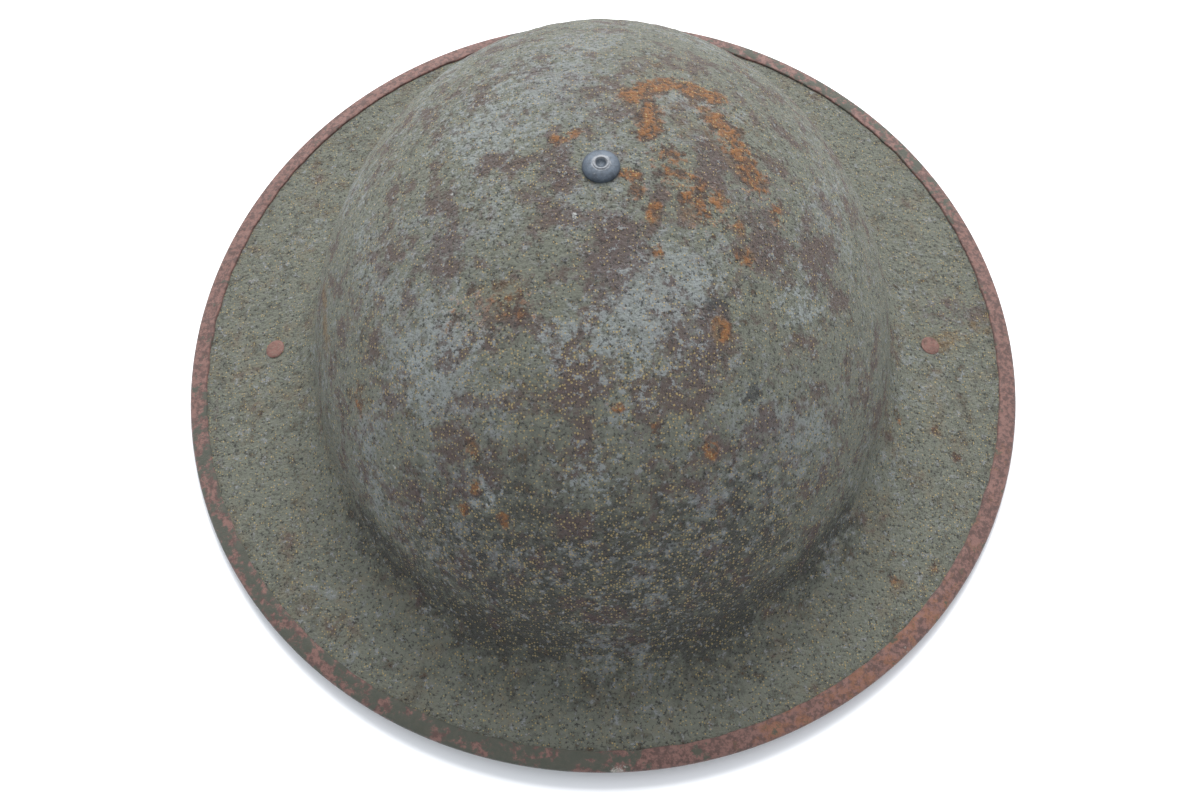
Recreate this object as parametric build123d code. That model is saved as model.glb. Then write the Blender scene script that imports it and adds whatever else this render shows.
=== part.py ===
from build123d import *
import math
import os
from dataclasses import dataclass

# Steel trench helmet with a wide brim, its liner and its chin strap, in millimetres.
# +Z is up, -Y is the front, and +X is the wearer's left.
# The origin is on the surface that the rim rests on, under the middle of the crown.

os.makedirs("parts", exist_ok=True)

# Overall sizes, measured over the rim edging
overall_width = 288.0
overall_length = 295.5
shell_height = 116.5
rim_rise = 4.4

# Pressed steel shell
shell_wall = 0.9
side_brim_width = 46.5
front_brim_width = 34.25
bowl_widest_height = 13.5
side_flare_radius = 15.5
front_flare_radius = 15.0
side_brim_slope_deg = 17.0
front_brim_slope_deg = 13.0

# Steel edging folded over the rim
edging_wall = 0.85
edging_fit = 0.06
edging_depth = 5.2
edging_joint_gap = 0.5

# Crown rivet, with a raised lip round the dimple of its head
crown_head_radius = 5.6
crown_head_edge = 0.5
crown_head_height = 2.6
crown_dimple_radius = 1.7
crown_dimple_depth = 0.9
crown_lip_height = 0.3
crown_lip_width = 0.8
crown_head_bulge = 0.45
crown_tail_gap = 0.15
crown_shank_radius = 2.1
crown_tail_radius = 3.8
crown_tail_height = 1.5

# Liner layers, stacked inwards from the shell's inner skin
liner_gap = 0.3
layer_gap = 0.05
outer_band_thickness = 1.2
outer_band_bottom = 20.0
outer_band_top = 42.0
cradle_strap_thickness = 1.2
cradle_strap_width = 32.0
crown_pad_radius = 30.0
crown_pad_thickness = 4.0
crown_washer_radius = 10.0
crown_washer_thickness = 1.0

# Rubber tubes between the outer band and the headband
buffer_radius = 4.8
buffer_bore_radius = 2.6
buffer_height = 19.0
buffer_count = 12

# Headband, its felt and the net over the head
headband_thickness = 1.1
headband_bottom = 18.0
headband_height = 34.0
felt_thickness = 2.0
net_thickness = 1.8
net_crown_gap = 14.55
net_hole_radius = 22.0
lace_radius = 1.3
knot_radius = 2.0
knot_length = 5.0

# Wire bails and the folded clips that hang them from the brim
bail_rivet_inset = 30.5
bail_wire_radius = 1.3
bail_length = 13.0
pivot_fit = 0.08
clip_thickness = 0.9
clip_width = 13.0
clip_foot = 6.5
clip_reach = 9.0
clip_seat_gap = 0.12
clip_fold_gap = 0.1
bail_head_radius = 3.4
bail_head_height = 0.45
bail_head_gap = 0.06
bail_shank_radius = 1.8
bail_tail_radius = 3.0
bail_tail_height = 1.0
hole_fit = 0.1

# Leather chin strap in two pieces, laid inside on the surface below
strap_width = 16.0
strap_thickness = 2.0
strap_side_fit = 0.6
strap_underside = 1.5
loop_fit = 0.15
strap_lap = 24.0
strap_end_gap = 17.0
strap_tip_gap = 12.0
strap_fold_radius = 3.5
strap_tip_length = 11.0
tongue_hole_radius = 1.6
tongue_hole_margin = 22.0
fold_hole_margin = 6.0
tongue_hole_count = 5
short_strap_run = 56.0
strap_rivet_radius = 1.2
strap_rivet_head_radius = 2.6
strap_rivet_head_height = 0.7
strap_rivet_pitch = 8.0

# Buckle, its tongue and the keeper
buckle_wire_radius = 1.3
buckle_length = 16.0
tongue_width = 3.0
tongue_slot_fit = 0.4
tongue_thickness = 1.5
tongue_eye_wall = 1.0
tongue_overhang = 1.6
keeper_thickness = 1.1
keeper_width = 7.0
keeper_fit = 0.2

# How the round forms are drawn
ring_sections = 32
nose_flats = 6
cord_flats = 8
tube_flat_count = 12
flare_steps = 50
cut_overrun = 5.0


@dataclass(frozen=True)
class Oval:
    """An ellipse seen from above, by its half width and half length."""

    side: float
    front: float

    def radius(self, theta):
        """Distance from the middle to the oval in the direction theta, in radians from +X."""
        across = math.hypot(self.front * math.cos(theta), self.side * math.sin(theta))
        return self.side * self.front / across


def around(theta, side, front):
    """A value that swings smoothly from its size at the sides to its size at front and back."""
    return (side + front) / 2 + (side - front) / 2 * math.cos(2 * theta)


bead_radius = shell_wall / 2 + edging_fit + edging_wall
bail_rivet_reach = overall_width / 2 - bail_rivet_inset
bowl_oval = Oval(overall_width / 2 - side_brim_width, overall_length / 2 - front_brim_width)
bead_oval = Oval(overall_width / 2 - bead_radius, overall_length / 2 - bead_radius)


@dataclass(frozen=True)
class Meridian:
    """The pressed skin in one radial plane: a quarter ellipse, a flare arc and a straight brim.

    An inset is measured inwards from the outer skin. Points are (radius, height).
    """

    theta: float

    @property
    def slope(self):
        """How steeply the brim falls outwards, in radians."""
        return math.radians(around(self.theta, side_brim_slope_deg, front_brim_slope_deg))

    @property
    def flare_radius(self):
        """Radius of the outer skin's arc between dome and brim."""
        return around(self.theta, side_flare_radius, front_flare_radius)

    @property
    def widest(self):
        """Radius of the outer skin's ellipse at its widest height."""
        return bowl_oval.radius(self.theta)

    @property
    def bead(self):
        """Middle of the edging's bead, on the middle line of the sheet."""
        return bead_oval.radius(self.theta), bead_radius + around(self.theta, 0, rim_rise)

    def brim_point(self, along, inset):
        """A point of the brim, at a distance along its slope in from the bead."""
        radius, height = self.bead
        lift = shell_wall / 2 - inset
        return (
            radius - along * math.cos(self.slope) + lift * math.sin(self.slope),
            height + along * math.sin(self.slope) + lift * math.cos(self.slope),
        )

    def dome_axes(self, inset):
        """Half axes of the dome's ellipse."""
        return self.widest - inset, shell_height - inset - bowl_widest_height

    def dome_point(self, angle, inset):
        """A point of the dome at an angle of its ellipse, from its widest place up to the crown."""
        across, up = self.dome_axes(inset)
        return across * math.cos(angle), bowl_widest_height + up * math.sin(angle)

    def angle_at_height(self, height, inset):
        """The ellipse's angle at a height."""
        return math.asin((height - bowl_widest_height) / self.dome_axes(inset)[1])

    def angle_at_radius(self, radius, inset):
        """The ellipse's angle at a radius."""
        return math.acos(radius / self.dome_axes(inset)[0])

    def dome_radius(self, height, inset):
        """Radius of the dome at a height."""
        return self.dome_point(self.angle_at_height(height, inset), inset)[0]

    def dome_arc(self, start, end, inset):
        """The dome's edge between two angles of its ellipse."""
        across, up = self.dome_axes(inset)
        return EllipticalCenterArc(
            (0, bowl_widest_height), across, up, math.degrees(start), arc_size=math.degrees(end - start)
        )

    def flare_centre(self, angle, inset):
        """Middle of a flare that leaves the dome at an angle, and the dome's normal there."""
        across, up = self.dome_axes(inset)
        normal = math.atan2(math.sin(angle) / up, math.cos(angle) / across)
        radius, height = self.dome_point(angle, inset)
        reach = self.flare_radius + inset
        return radius + reach * math.cos(normal), height + reach * math.sin(normal), normal

    def flare(self, inset):
        """The arc between dome and brim: where it leaves the dome, its edge, and its lower end."""
        reach = self.flare_radius + inset
        rim_radius, rim_height = self.brim_point(0, inset)
        low, high = math.radians(-45), math.radians(60)
        for _ in range(flare_steps):
            angle = (low + high) / 2
            radius, height, normal = self.flare_centre(angle, inset)
            across = (radius - rim_radius) * math.sin(self.slope)
            up = (height - rim_height) * math.cos(self.slope)
            if across + up > reach:
                high = angle
            else:
                low = angle
        arc = CenterArc(
            (radius, height), reach, 180 + math.degrees(normal), 90 - math.degrees(self.slope + normal)
        )
        end = (radius - reach * math.sin(self.slope), height - reach * math.cos(self.slope))
        return angle, arc, end


def radial_plane(theta):
    """The upright plane through the Z axis in the direction theta, drawn in as (radius, height)."""
    return Plane(
        origin=(0, 0, 0),
        x_dir=(math.cos(theta), math.sin(theta), 0),
        z_dir=(math.sin(theta), -math.cos(theta), 0),
    )


def ring(section, ruled=False):
    """A closed solid lofted right round the Z axis through the outlines that section(theta) draws.

    The cloth and leather of the liner is ruled from outline to outline, and the steel is smooth.
    """
    outlines = []
    for index in range(ring_sections):
        theta = math.pi / 2 + 2 * math.pi * index / ring_sections
        plane = radial_plane(theta)
        outlines.append(Wire([plane * edge for edge in section(theta)]))
    outlines.append(outlines[0])
    return Solid.make_loft(outlines, ruled)


def closed_line(points):
    """The straight edges of a closed outline."""
    return [Line(points[index - 1], points[index]) for index in range(len(points))]


def dome_layer(inset, thickness, low_angle, high_angle):
    """A layer that follows the dome between two angles, each a function of meridian and inset."""

    def section(theta):
        line = Meridian(theta)
        edges = []
        ends = []
        for depth in (inset, inset + thickness):
            low = low_angle(line, depth)
            high = high_angle(line, depth)
            edges.append(line.dome_arc(low, high, depth))
            ends.append((line.dome_point(low, depth), line.dome_point(high, depth)))
        (outer_low, outer_high), (inner_low, inner_high) = ends
        return [edges[0], Line(outer_high, inner_high), edges[1], Line(inner_low, outer_low)]

    return ring(section, ruled=True)


def at_height(height):
    """The dome's angle at a height, for dome_layer."""
    return lambda line, inset: line.angle_at_height(height, inset)


def at_radius(radius):
    """The dome's angle at a radius, for dome_layer."""
    return lambda line, inset: line.angle_at_radius(radius, inset)


def upright_band(radius_at, thickness, bottom, top):
    """An upright band whose outer face has the radius that radius_at(theta) gives."""

    def section(theta):
        outer = radius_at(theta)
        inner = outer - thickness
        return closed_line([(inner, bottom), (outer, bottom), (outer, top), (inner, top)])

    return ring(section, ruled=True)


def cylinder_along_z(radius, low, high):
    """A cylinder on the Z axis between two heights."""
    return Pos(0, 0, (low + high) / 2) * Cylinder(radius, high - low)


def domed_head(radius, low, height):
    """A rivet's low head on the Z axis, with its upper edge chamfered."""
    head = cylinder_along_z(radius, low, low + height)
    return chamfer(head.edges().group_by(Axis.Z)[-1], height / 2)


# Shell and rim edging

crown_hole_radius = crown_shank_radius + hole_fit


def shell_section(theta):
    """The sheet's outline from the crown hole to the rim."""
    line = Meridian(theta)
    skins = []
    for inset in (0, shell_wall):
        hole = line.angle_at_radius(crown_hole_radius, inset)
        foot, flare, flare_end = line.flare(inset)
        dome = line.dome_arc(foot, hole, inset)
        brim = Line(flare_end, line.brim_point(0, inset))
        skins.append([dome, flare, brim])
    rim = Line(line.brim_point(0, 0), line.brim_point(0, shell_wall))
    hole_edge = Line(
        line.dome_point(line.angle_at_radius(crown_hole_radius, 0), 0),
        line.dome_point(line.angle_at_radius(crown_hole_radius, shell_wall), shell_wall),
    )
    outer, inner = skins
    return outer + [rim] + inner[::-1] + [hole_edge]


def edging_section(theta):
    """The folded strip's outline: two flanges and the nose that turns round the rim between them."""
    line = Meridian(theta)
    middle = shell_wall / 2
    slot = middle + edging_fit
    nose = []
    for index in range(nose_flats + 1):
        turn = math.radians(90 - 180 * index / nose_flats)
        nose.append((-bead_radius * math.cos(turn), bead_radius * math.sin(turn)))
    outline = nose + [
        (edging_depth, -bead_radius),
        (edging_depth, -slot),
        (-edging_fit, -slot),
        (-edging_fit, slot),
        (edging_depth, slot),
        (edging_depth, bead_radius),
    ]
    return closed_line([line.brim_point(along, middle - lift) for along, lift in outline])


def brim_plane(side):
    """The plane of the brim's outer skin where a bail's rivet stands, with X down the slope.

    side is 1 for +X and -1 for -X.
    """
    line = Meridian(0)
    rim_radius, rim_height = line.brim_point(0, 0)
    height = rim_height + math.tan(line.slope) * (rim_radius - bail_rivet_reach)
    return Plane(
        origin=(side * bail_rivet_reach, 0, height),
        x_dir=(side * math.cos(line.slope), 0, -math.sin(line.slope)),
        z_dir=(side * math.sin(line.slope), 0, math.cos(line.slope)),
    )


def make_shell():
    """The pressed shell, with holes for the crown rivet and the two bail rivets."""
    shell = ring(shell_section)
    for side in (-1, 1):
        drill = Cylinder(bail_shank_radius + hole_fit, 2 * cut_overrun)
        shell = shell - brim_plane(side) * drill
    return shell


def make_rim_edging():
    """The folded strip, with the butt joint of its ends at the back."""
    edging = ring(edging_section)
    joint = Pos(0, overall_length / 2, bead_radius + rim_rise) * Box(
        edging_joint_gap, 4 * edging_depth, 4 * edging_depth
    )
    return edging - joint


# Crown rivet and the layers that it clamps

cross_strap_inset = shell_wall + liner_gap + outer_band_thickness + layer_gap
long_strap_inset = cross_strap_inset + cradle_strap_thickness + layer_gap
crown_pad_inset = long_strap_inset + cradle_strap_thickness + layer_gap
crown_washer_inset = crown_pad_inset + crown_pad_thickness + layer_gap
crown_clamp_depth = crown_washer_inset + crown_washer_thickness + crown_tail_gap


def make_crown_rivet():
    """The rivet: a low domed head with a raised lip round its dimple, a shank and a clinched tail."""
    top = shell_height
    head_top = top + crown_head_height
    shoulder = (crown_head_radius, top + crown_head_edge)
    lip_foot = (crown_dimple_radius + crown_lip_width, head_top - crown_lip_height)
    lip_top = (crown_dimple_radius + crown_lip_width / 2, head_top)
    dimple_edge = (crown_dimple_radius, head_top - crown_lip_height)
    dimple_floor = head_top - crown_lip_height - crown_dimple_depth
    slant = Vector(*lip_foot) - Vector(*shoulder)
    bulge = Vector(*shoulder) + slant / 2 + Vector(slant.Y, -slant.X).normalized() * crown_head_bulge
    clamp = top - crown_clamp_depth
    tail = clamp - crown_tail_height
    outline = [
        Line((0, tail), (crown_tail_radius, tail)),
        Line((crown_tail_radius, tail), (crown_tail_radius, clamp)),
        Line((crown_tail_radius, clamp), (crown_shank_radius, clamp)),
        Line((crown_shank_radius, clamp), (crown_shank_radius, top)),
        Line((crown_shank_radius, top), (crown_head_radius, top)),
        Line((crown_head_radius, top), shoulder),
        ThreePointArc(shoulder, bulge, lip_foot),
        Line(lip_foot, lip_top),
        Line(lip_top, dimple_edge),
        Line(dimple_edge, (crown_dimple_radius / 2, dimple_floor)),
        Line((crown_dimple_radius / 2, dimple_floor), (0, dimple_floor)),
        Line((0, dimple_floor), (0, tail)),
    ]
    return revolve(Plane.XZ * make_face(outline), Axis.Z)


def make_cradle_strap(inset, across):
    """A cloth strap over the crown, held inside the outer band at both ends.

    across is True for the strap from side to side.
    """
    low = at_height(outer_band_bottom)
    layer = dome_layer(inset, cradle_strap_thickness, low, at_radius(crown_hole_radius))
    if across:
        slab = Box(overall_width, cradle_strap_width, 2 * shell_height)
    else:
        slab = Box(cradle_strap_width, overall_length, 2 * shell_height)
    return layer & slab


def crown_disc(inset, thickness, radius):
    """A round piece that follows the dome under the crown."""
    return dome_layer(inset, thickness, at_radius(radius), at_radius(crown_hole_radius))


# Outer band, rubber buffers, headband, felt and net


def buffer_centre(theta):
    """Distance of a rubber tube's middle from the Z axis, set by the band's narrowest height."""
    inset = shell_wall + liner_gap + outer_band_thickness
    return Meridian(theta).dome_radius(outer_band_top, inset) - liner_gap - buffer_radius


def headband_outside(theta):
    """Radius of the felt's outer face, just inside the tubes."""
    return buffer_centre(theta) - buffer_radius - liner_gap


def headband_inside(theta):
    """Radius of the face that touches the head."""
    return headband_outside(theta) - felt_thickness - layer_gap - headband_thickness


def make_outer_band():
    """The band that lies against the shell and carries the tubes, the straps and the headband."""
    low = at_height(outer_band_bottom)
    high = at_height(outer_band_top)
    return dome_layer(shell_wall + liner_gap, outer_band_thickness, low, high)


def make_rubber_buffers():
    """The upright rubber tubes, spaced evenly clear of the cradle straps."""
    tubes = []
    middle = (outer_band_bottom + outer_band_top) / 2
    bore = RegularPolygon(buffer_bore_radius, tube_flat_count)
    wall = RegularPolygon(buffer_radius, tube_flat_count) - bore
    for index in range(buffer_count):
        theta = 2 * math.pi * (index + 1 / 2) / buffer_count
        place = Rot(0, 0, math.degrees(theta)) * Pos(buffer_centre(theta), 0, middle)
        tubes.append(place * extrude(wall, buffer_height / 2, both=True))
    return Compound(children=tubes)


def make_headband():
    """The oilcloth headband, with its lower edge turned out under the felt."""

    def section(theta):
        inner = headband_inside(theta)
        face = inner + headband_thickness
        outer = headband_outside(theta)
        bottom = headband_bottom
        ledge = bottom + headband_thickness
        top = bottom + headband_height
        turned_out = [(inner, bottom), (outer, bottom), (outer, ledge), (face, ledge)]
        return closed_line(turned_out + [(face, top), (inner, top)])

    return ring(section, ruled=True)


def make_headband_felt():
    """The felt strip behind the headband."""
    bottom = headband_bottom + headband_thickness + layer_gap
    return upright_band(headband_outside, felt_thickness, bottom, headband_bottom + headband_height)


net_foot = headband_bottom + headband_height + liner_gap
net_rise = shell_height - crown_clamp_depth - crown_tail_height - net_crown_gap - net_foot


def net_axes(theta, depth):
    """Half axes of the net's ellipse in one radial plane."""
    return headband_outside(theta) - depth, net_rise - depth


def net_height(theta, radius, depth):
    """Height of the net at a radius."""
    across, up = net_axes(theta, depth)
    return net_foot + up * math.sqrt(1 - (radius / across) ** 2)


def make_crown_net():
    """The domed net over the head, open at the top where its lace gathers it."""

    def section(theta):
        edges = []
        ends = []
        for depth in (0, net_thickness):
            across, up = net_axes(theta, depth)
            high = math.degrees(math.acos(net_hole_radius / across))
            edges.append(EllipticalCenterArc((0, net_foot), across, up, 0, arc_size=high))
            top = net_height(theta, net_hole_radius, depth)
            ends.append(((across, net_foot), (net_hole_radius, top)))
        (outer_low, outer_high), (inner_low, inner_high) = ends
        return [edges[0], Line(outer_high, inner_high), edges[1], Line(inner_low, outer_low)]

    return ring(section, ruled=True)


def make_net_lace():
    """The lace drawn through the net's top loops, tied in a short knot."""
    reach = net_hole_radius - lace_radius - liner_gap
    height = net_height(0, net_hole_radius, net_thickness / 2)

    def section(theta):
        outline = []
        for index in range(cord_flats):
            turn = 2 * math.pi * index / cord_flats
            outline.append((reach + lace_radius * math.cos(turn), height + lace_radius * math.sin(turn)))
        return closed_line(outline)

    knot = Cylinder(knot_radius, knot_length)
    knot = chamfer(knot.edges().filter_by(GeomType.CIRCLE), knot_radius / 2)
    return ring(section, ruled=True) + Pos(0, knot_radius / 2 - reach, height) * Rot(0, 90, 0) * knot


# Bails, their clips and rivets

eye_hole_radius = bail_wire_radius + pivot_fit
eye_radius = eye_hole_radius + clip_thickness
clip_top = -shell_wall - clip_seat_gap
bail_corner_radius = strap_side_fit + bail_wire_radius
bail_half_width = strap_width / 2 + bail_corner_radius
bar_height = strap_underside + strap_thickness + loop_fit + bail_wire_radius


def bail_pivot(side):
    """Middle of the bail's upper bar, in the clip's eye."""
    return brim_plane(side).from_local_coords(Vector(-clip_reach, 0, clip_top - eye_radius))


def bail_drop():
    """How far the folded-in bail points below the level, in radians."""
    return math.asin((bail_pivot(1).Z - bar_height) / bail_length)


def lower_bar(side):
    """Middle of the bail's lower bar, which carries the strap."""
    pivot = bail_pivot(side)
    return Vector(pivot.X - side * bail_length * math.cos(bail_drop()), 0, bar_height)


def wire_loop(length, half_width, corner, wire):
    """A flat loop of wire from the YZ plane towards +X, its near bar on the Y axis.

    Its two bars are round, because pieces turn on them, and its arms and bends have flats.
    """
    bar = Rot(90, 0, 0) * Cylinder(wire, 2 * (half_width - corner))
    facets = RegularPolygon(wire, cord_flats)
    arm = extrude(Plane.YZ * facets, (length - 2 * corner) / 2, both=True)
    bend = revolve(Plane.XZ * Pos(corner, 0) * facets, Axis.Z, 90)
    loop = bar + Pos(length, 0, 0) * bar
    for side in (-1, 1):
        loop = loop + Pos(length / 2, side * half_width, 0) * arm
    for x, y, turn in (
        (length - corner, half_width - corner, 0),
        (corner, half_width - corner, 90),
        (corner, corner - half_width, 180),
        (length - corner, corner - half_width, 270),
    ):
        loop = loop + Pos(x, y, 0) * Rot(0, 0, turn) * bend
    return loop


def make_bail(side):
    """The wire bail, folded in and down until its strap lies just above the surface below."""
    loop = wire_loop(bail_length, bail_half_width, bail_corner_radius, bail_wire_radius)
    pivot = bail_pivot(-1)
    bail = Pos(pivot.X, 0, pivot.Z) * Rot(0, math.degrees(bail_drop()), 0) * loop
    if side < 0:
        return bail
    return mirror(bail, Plane.YZ)


def make_clip(side):
    """The folded strip riveted under the brim, with the eye that the bail turns in."""
    plies = 2 * clip_thickness + clip_fold_gap
    length = clip_foot + clip_reach
    middle = Pos((clip_foot - clip_reach) / 2, 0, clip_top - plies / 2)
    foot = middle * Box(length, clip_width, plies)
    fold = middle * Pos(cut_overrun / 2, 0, 0) * Box(length + cut_overrun, clip_width, clip_fold_gap)
    eye_place = Pos(-clip_reach, 0, clip_top - eye_radius) * Rot(90, 0, 0)
    eye = eye_place * Cylinder(eye_radius, clip_width)
    bore = eye_place * Cylinder(eye_hole_radius, clip_width)
    hole = Cylinder(bail_shank_radius + hole_fit, 4 * cut_overrun)
    return brim_plane(side) * (foot - fold + eye - bore - hole)


def make_bail_rivet(side):
    """The rivet with its nearly flush head on the brim and its tail under the clip."""
    under_clip = clip_top - 2 * clip_thickness - clip_fold_gap - clip_seat_gap
    head = domed_head(bail_head_radius, bail_head_gap, bail_head_height)
    shank = cylinder_along_z(bail_shank_radius, under_clip, bail_head_gap)
    tail = cylinder_along_z(bail_tail_radius, under_clip - bail_tail_height, under_clip)
    return brim_plane(side) * (head + shank + tail)


# Chin strap, drawn from its bail towards the middle of the helmet along +X

loop_inner_radius = bail_wire_radius + loop_fit
loop_outer_radius = loop_inner_radius + strap_thickness
ply_bottom = strap_underside
ply_top = ply_bottom + strap_thickness


def ply(start, end, bottom):
    """One flat run of strap leather, drawn in the XZ plane as (distance, height)."""
    return Pos((start + end) / 2, bottom + strap_thickness / 2) * Rectangle(end - start, strap_thickness)


def end_loop(at, lap_to):
    """A strap end turned round a bar and lapped back over the strap."""
    ring_face = Pos(at, bar_height) * (Circle(loop_outer_radius) - Circle(loop_inner_radius))
    lap = ply(min(at, lap_to), max(at, lap_to), ply_top) - Pos(at, bar_height) * Circle(loop_inner_radius)
    return ring_face + lap


def strap_from(profile):
    """A strap of the full width from its edge-on outline."""
    return extrude(Plane.XZ * profile, strap_width / 2, both=True)


def place_at_bail(piece, side):
    """Turns a strap piece to run inwards from the bail of one side."""
    bar = lower_bar(-1)
    placed = Pos(bar.X, 0, 0) * piece
    if side < 0:
        return placed
    return mirror(placed, Plane.YZ)


fold_height = ply_top + strap_fold_radius
fold_outer_radius = strap_fold_radius + strap_thickness
return_bottom = ply_top + 2 * strap_fold_radius
short_side_reach = short_strap_run + buckle_length + tongue_overhang
long_strap_run = 2 * lower_bar(1).X - short_side_reach - strap_end_gap - fold_outer_radius


def make_chinstrap_long():
    """The long strap: looped on its bail, folded back over itself once, with a pointed tip and holes."""
    fold = Pos(long_strap_run, fold_height) * (Circle(fold_outer_radius) - Circle(strap_fold_radius))
    beyond = Pos(long_strap_run + fold_outer_radius, fold_height) * Rectangle(
        2 * fold_outer_radius, 2 * fold_outer_radius
    )
    profile = end_loop(0, strap_lap) + ply(0, long_strap_run, ply_bottom)
    profile = profile - Pos(0, bar_height) * Circle(loop_inner_radius)
    profile = profile + (fold & beyond) + ply(strap_tip_gap, long_strap_run, return_bottom)
    strap = strap_from(profile)
    half = strap_width / 2
    for turn in (-1, 1):
        corner = Plane.XY.offset(return_bottom - strap_fold_radius / 2) * Polygon(
            (strap_tip_gap - strap_thickness, 0),
            (strap_tip_gap - strap_thickness, turn * 2 * half),
            (strap_tip_gap + strap_tip_length, turn * 2 * half),
            (strap_tip_gap + strap_tip_length, turn * half),
            (strap_tip_gap, turn * half / 3),
            (strap_tip_gap, 0),
            align=None,
        )
        strap = strap - extrude(corner, 2 * strap_thickness + strap_fold_radius, dir=(0, 0, 1))
    first = strap_tip_gap + tongue_hole_margin
    pitch = (long_strap_run - fold_hole_margin - first) / (tongue_hole_count - 1)
    punch = Cylinder(tongue_hole_radius, 2 * strap_thickness)
    for index in range(tongue_hole_count):
        strap = strap - Pos(first + index * pitch, 0, return_bottom + strap_thickness / 2) * punch
    return place_at_bail(strap - rivet_holes(long_rivet_places), -1)


def make_chinstrap_short():
    """The short strap: looped on its bail and, at its other end, round the buckle's bar."""
    profile = end_loop(0, strap_lap) + end_loop(short_strap_run, short_strap_run - strap_lap)
    profile = profile + ply(0, short_strap_run, ply_bottom)
    for at in (0, short_strap_run):
        profile = profile - Pos(at, bar_height) * Circle(loop_inner_radius)
    strap = strap_from(profile)
    slot_width = tongue_width + 2 * tongue_slot_fit
    slot_length = 2 * (loop_outer_radius + strap_thickness)
    slot = Pos(short_strap_run, 0, bar_height) * Box(slot_length, slot_width, 4 * loop_outer_radius)
    return place_at_bail(strap - slot - rivet_holes(short_rivet_places), 1)


strap_rivet_start = loop_outer_radius + strap_rivet_pitch
long_rivet_places = [strap_rivet_start, strap_rivet_start + strap_rivet_pitch]
short_rivet_places = long_rivet_places + [short_strap_run - strap_rivet_start]


def rivet_holes(places):
    """Holes through the lapped strap for its rivets."""
    drill = Cylinder(strap_rivet_radius + hole_fit, 3 * strap_thickness)
    return Compound(children=[Pos(at, 0, ply_top) * drill for at in places])


def make_strap_rivets(places, side):
    """The small rivets that close a strap's laps, each with a domed head above and a flat one below."""
    top = ply_top + strap_thickness
    bottom = ply_bottom - strap_rivet_head_height
    disc = RegularPolygon(strap_rivet_head_radius, cord_flats)
    rivets = []
    for at in places:
        head = extrude(Plane.XY.offset(top) * disc, strap_rivet_head_height)
        foot = extrude(Plane.XY.offset(bottom) * disc, strap_rivet_head_height)
        shank = Plane.XY.offset(bottom) * RegularPolygon(strap_rivet_radius, cord_flats)
        rivet = head + foot + extrude(shank, top - bottom)
        rivets.append(place_at_bail(Pos(at, 0, 0) * rivet, side).solid())
    return Compound(children=rivets)


# Buckle, tongue and keeper on the short strap


def make_buckle_frame():
    """The wire buckle in the short strap's far loop."""
    loop = wire_loop(buckle_length, bail_half_width, bail_corner_radius, buckle_wire_radius)
    return place_at_bail(Pos(short_strap_run, 0, bar_height) * loop, 1)


def make_buckle_tongue():
    """The tongue, turned round the buckle's bar and resting on its far side."""
    hole = buckle_wire_radius + pivot_fit
    outer = hole + tongue_eye_wall
    eye = Circle(outer)
    reach = buckle_length + tongue_overhang
    rest = buckle_wire_radius + pivot_fit
    finger = Polygon(
        (0, rest - tongue_eye_wall),
        (buckle_length - buckle_wire_radius, rest),
        (reach, rest),
        (reach, rest + tongue_thickness / 2),
        (buckle_length / 2, outer + tongue_thickness / 3),
        (0, outer),
        align=None,
    )
    profile = Pos(short_strap_run, bar_height) * (eye + finger - Circle(hole))
    return place_at_bail(extrude(Plane.XZ * profile, tongue_width / 2, both=True), 1)


def make_strap_keeper():
    """The leather loop round the lapped strap, just behind the buckle."""
    inner_width = strap_width + 2 * keeper_fit
    inner_height = 2 * strap_thickness + 2 * keeper_fit
    outer = Rectangle(inner_width + 2 * keeper_thickness, inner_height + 2 * keeper_thickness)
    outer = fillet(outer.vertices(), keeper_thickness)
    profile = outer - Rectangle(inner_width, inner_height)
    at = short_strap_run - strap_lap + keeper_width / 2 + keeper_fit
    upright = Plane(origin=(at, 0, ply_top), x_dir=(0, 1, 0), z_dir=(1, 0, 0))
    return place_at_bail(extrude(upright * profile, keeper_width / 2, both=True), 1)


pieces = {
    "shell": make_shell(),
    "rim_edging": make_rim_edging(),
    "crown_rivet": make_crown_rivet(),
    "crown_washer": crown_disc(crown_washer_inset, crown_washer_thickness, crown_washer_radius),
    "crown_pad": crown_disc(crown_pad_inset, crown_pad_thickness, crown_pad_radius),
    "cradle_strap_cross": make_cradle_strap(cross_strap_inset, True),
    "cradle_strap_long": make_cradle_strap(long_strap_inset, False),
    "outer_band": make_outer_band(),
    "rubber_buffers": make_rubber_buffers(),
    "headband": make_headband(),
    "headband_felt": make_headband_felt(),
    "crown_net": make_crown_net(),
    "net_lace": make_net_lace(),
    "bail_clip_left": make_clip(-1),
    "bail_clip_right": make_clip(1),
    "bail_rivet_left": make_bail_rivet(-1),
    "bail_rivet_right": make_bail_rivet(1),
    "bail_left": make_bail(-1),
    "bail_right": make_bail(1),
    "chinstrap_long": make_chinstrap_long(),
    "chinstrap_short": make_chinstrap_short(),
    "strap_rivets_long": make_strap_rivets(long_rivet_places, -1),
    "strap_rivets_short": make_strap_rivets(short_rivet_places, 1),
    "buckle_frame": make_buckle_frame(),
    "buckle_tongue": make_buckle_tongue(),
    "strap_keeper": make_strap_keeper(),
}

for name, piece in pieces.items():
    export_step(piece, os.path.join("parts", name + ".step"))
    print(name, len(piece.solids()), round(piece.volume, 1))

print("bail pivot", bail_pivot(1), "lower bar", lower_bar(1), "drop", math.degrees(bail_drop()))
print("head size", [round(headband_inside(t), 1) for t in (0, math.pi / 2)])
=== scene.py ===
"""Steel trench helmet on a white table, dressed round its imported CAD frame.

The pressed shell, its folded edging, the rivets, the liner and the chin strap are modelled here in
metres, in the frame's own places, and each piece rides on the body that carries it.
"""

import logging
import math
from dataclasses import dataclass
from enum import Enum
from typing import Callable, Sequence

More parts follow.
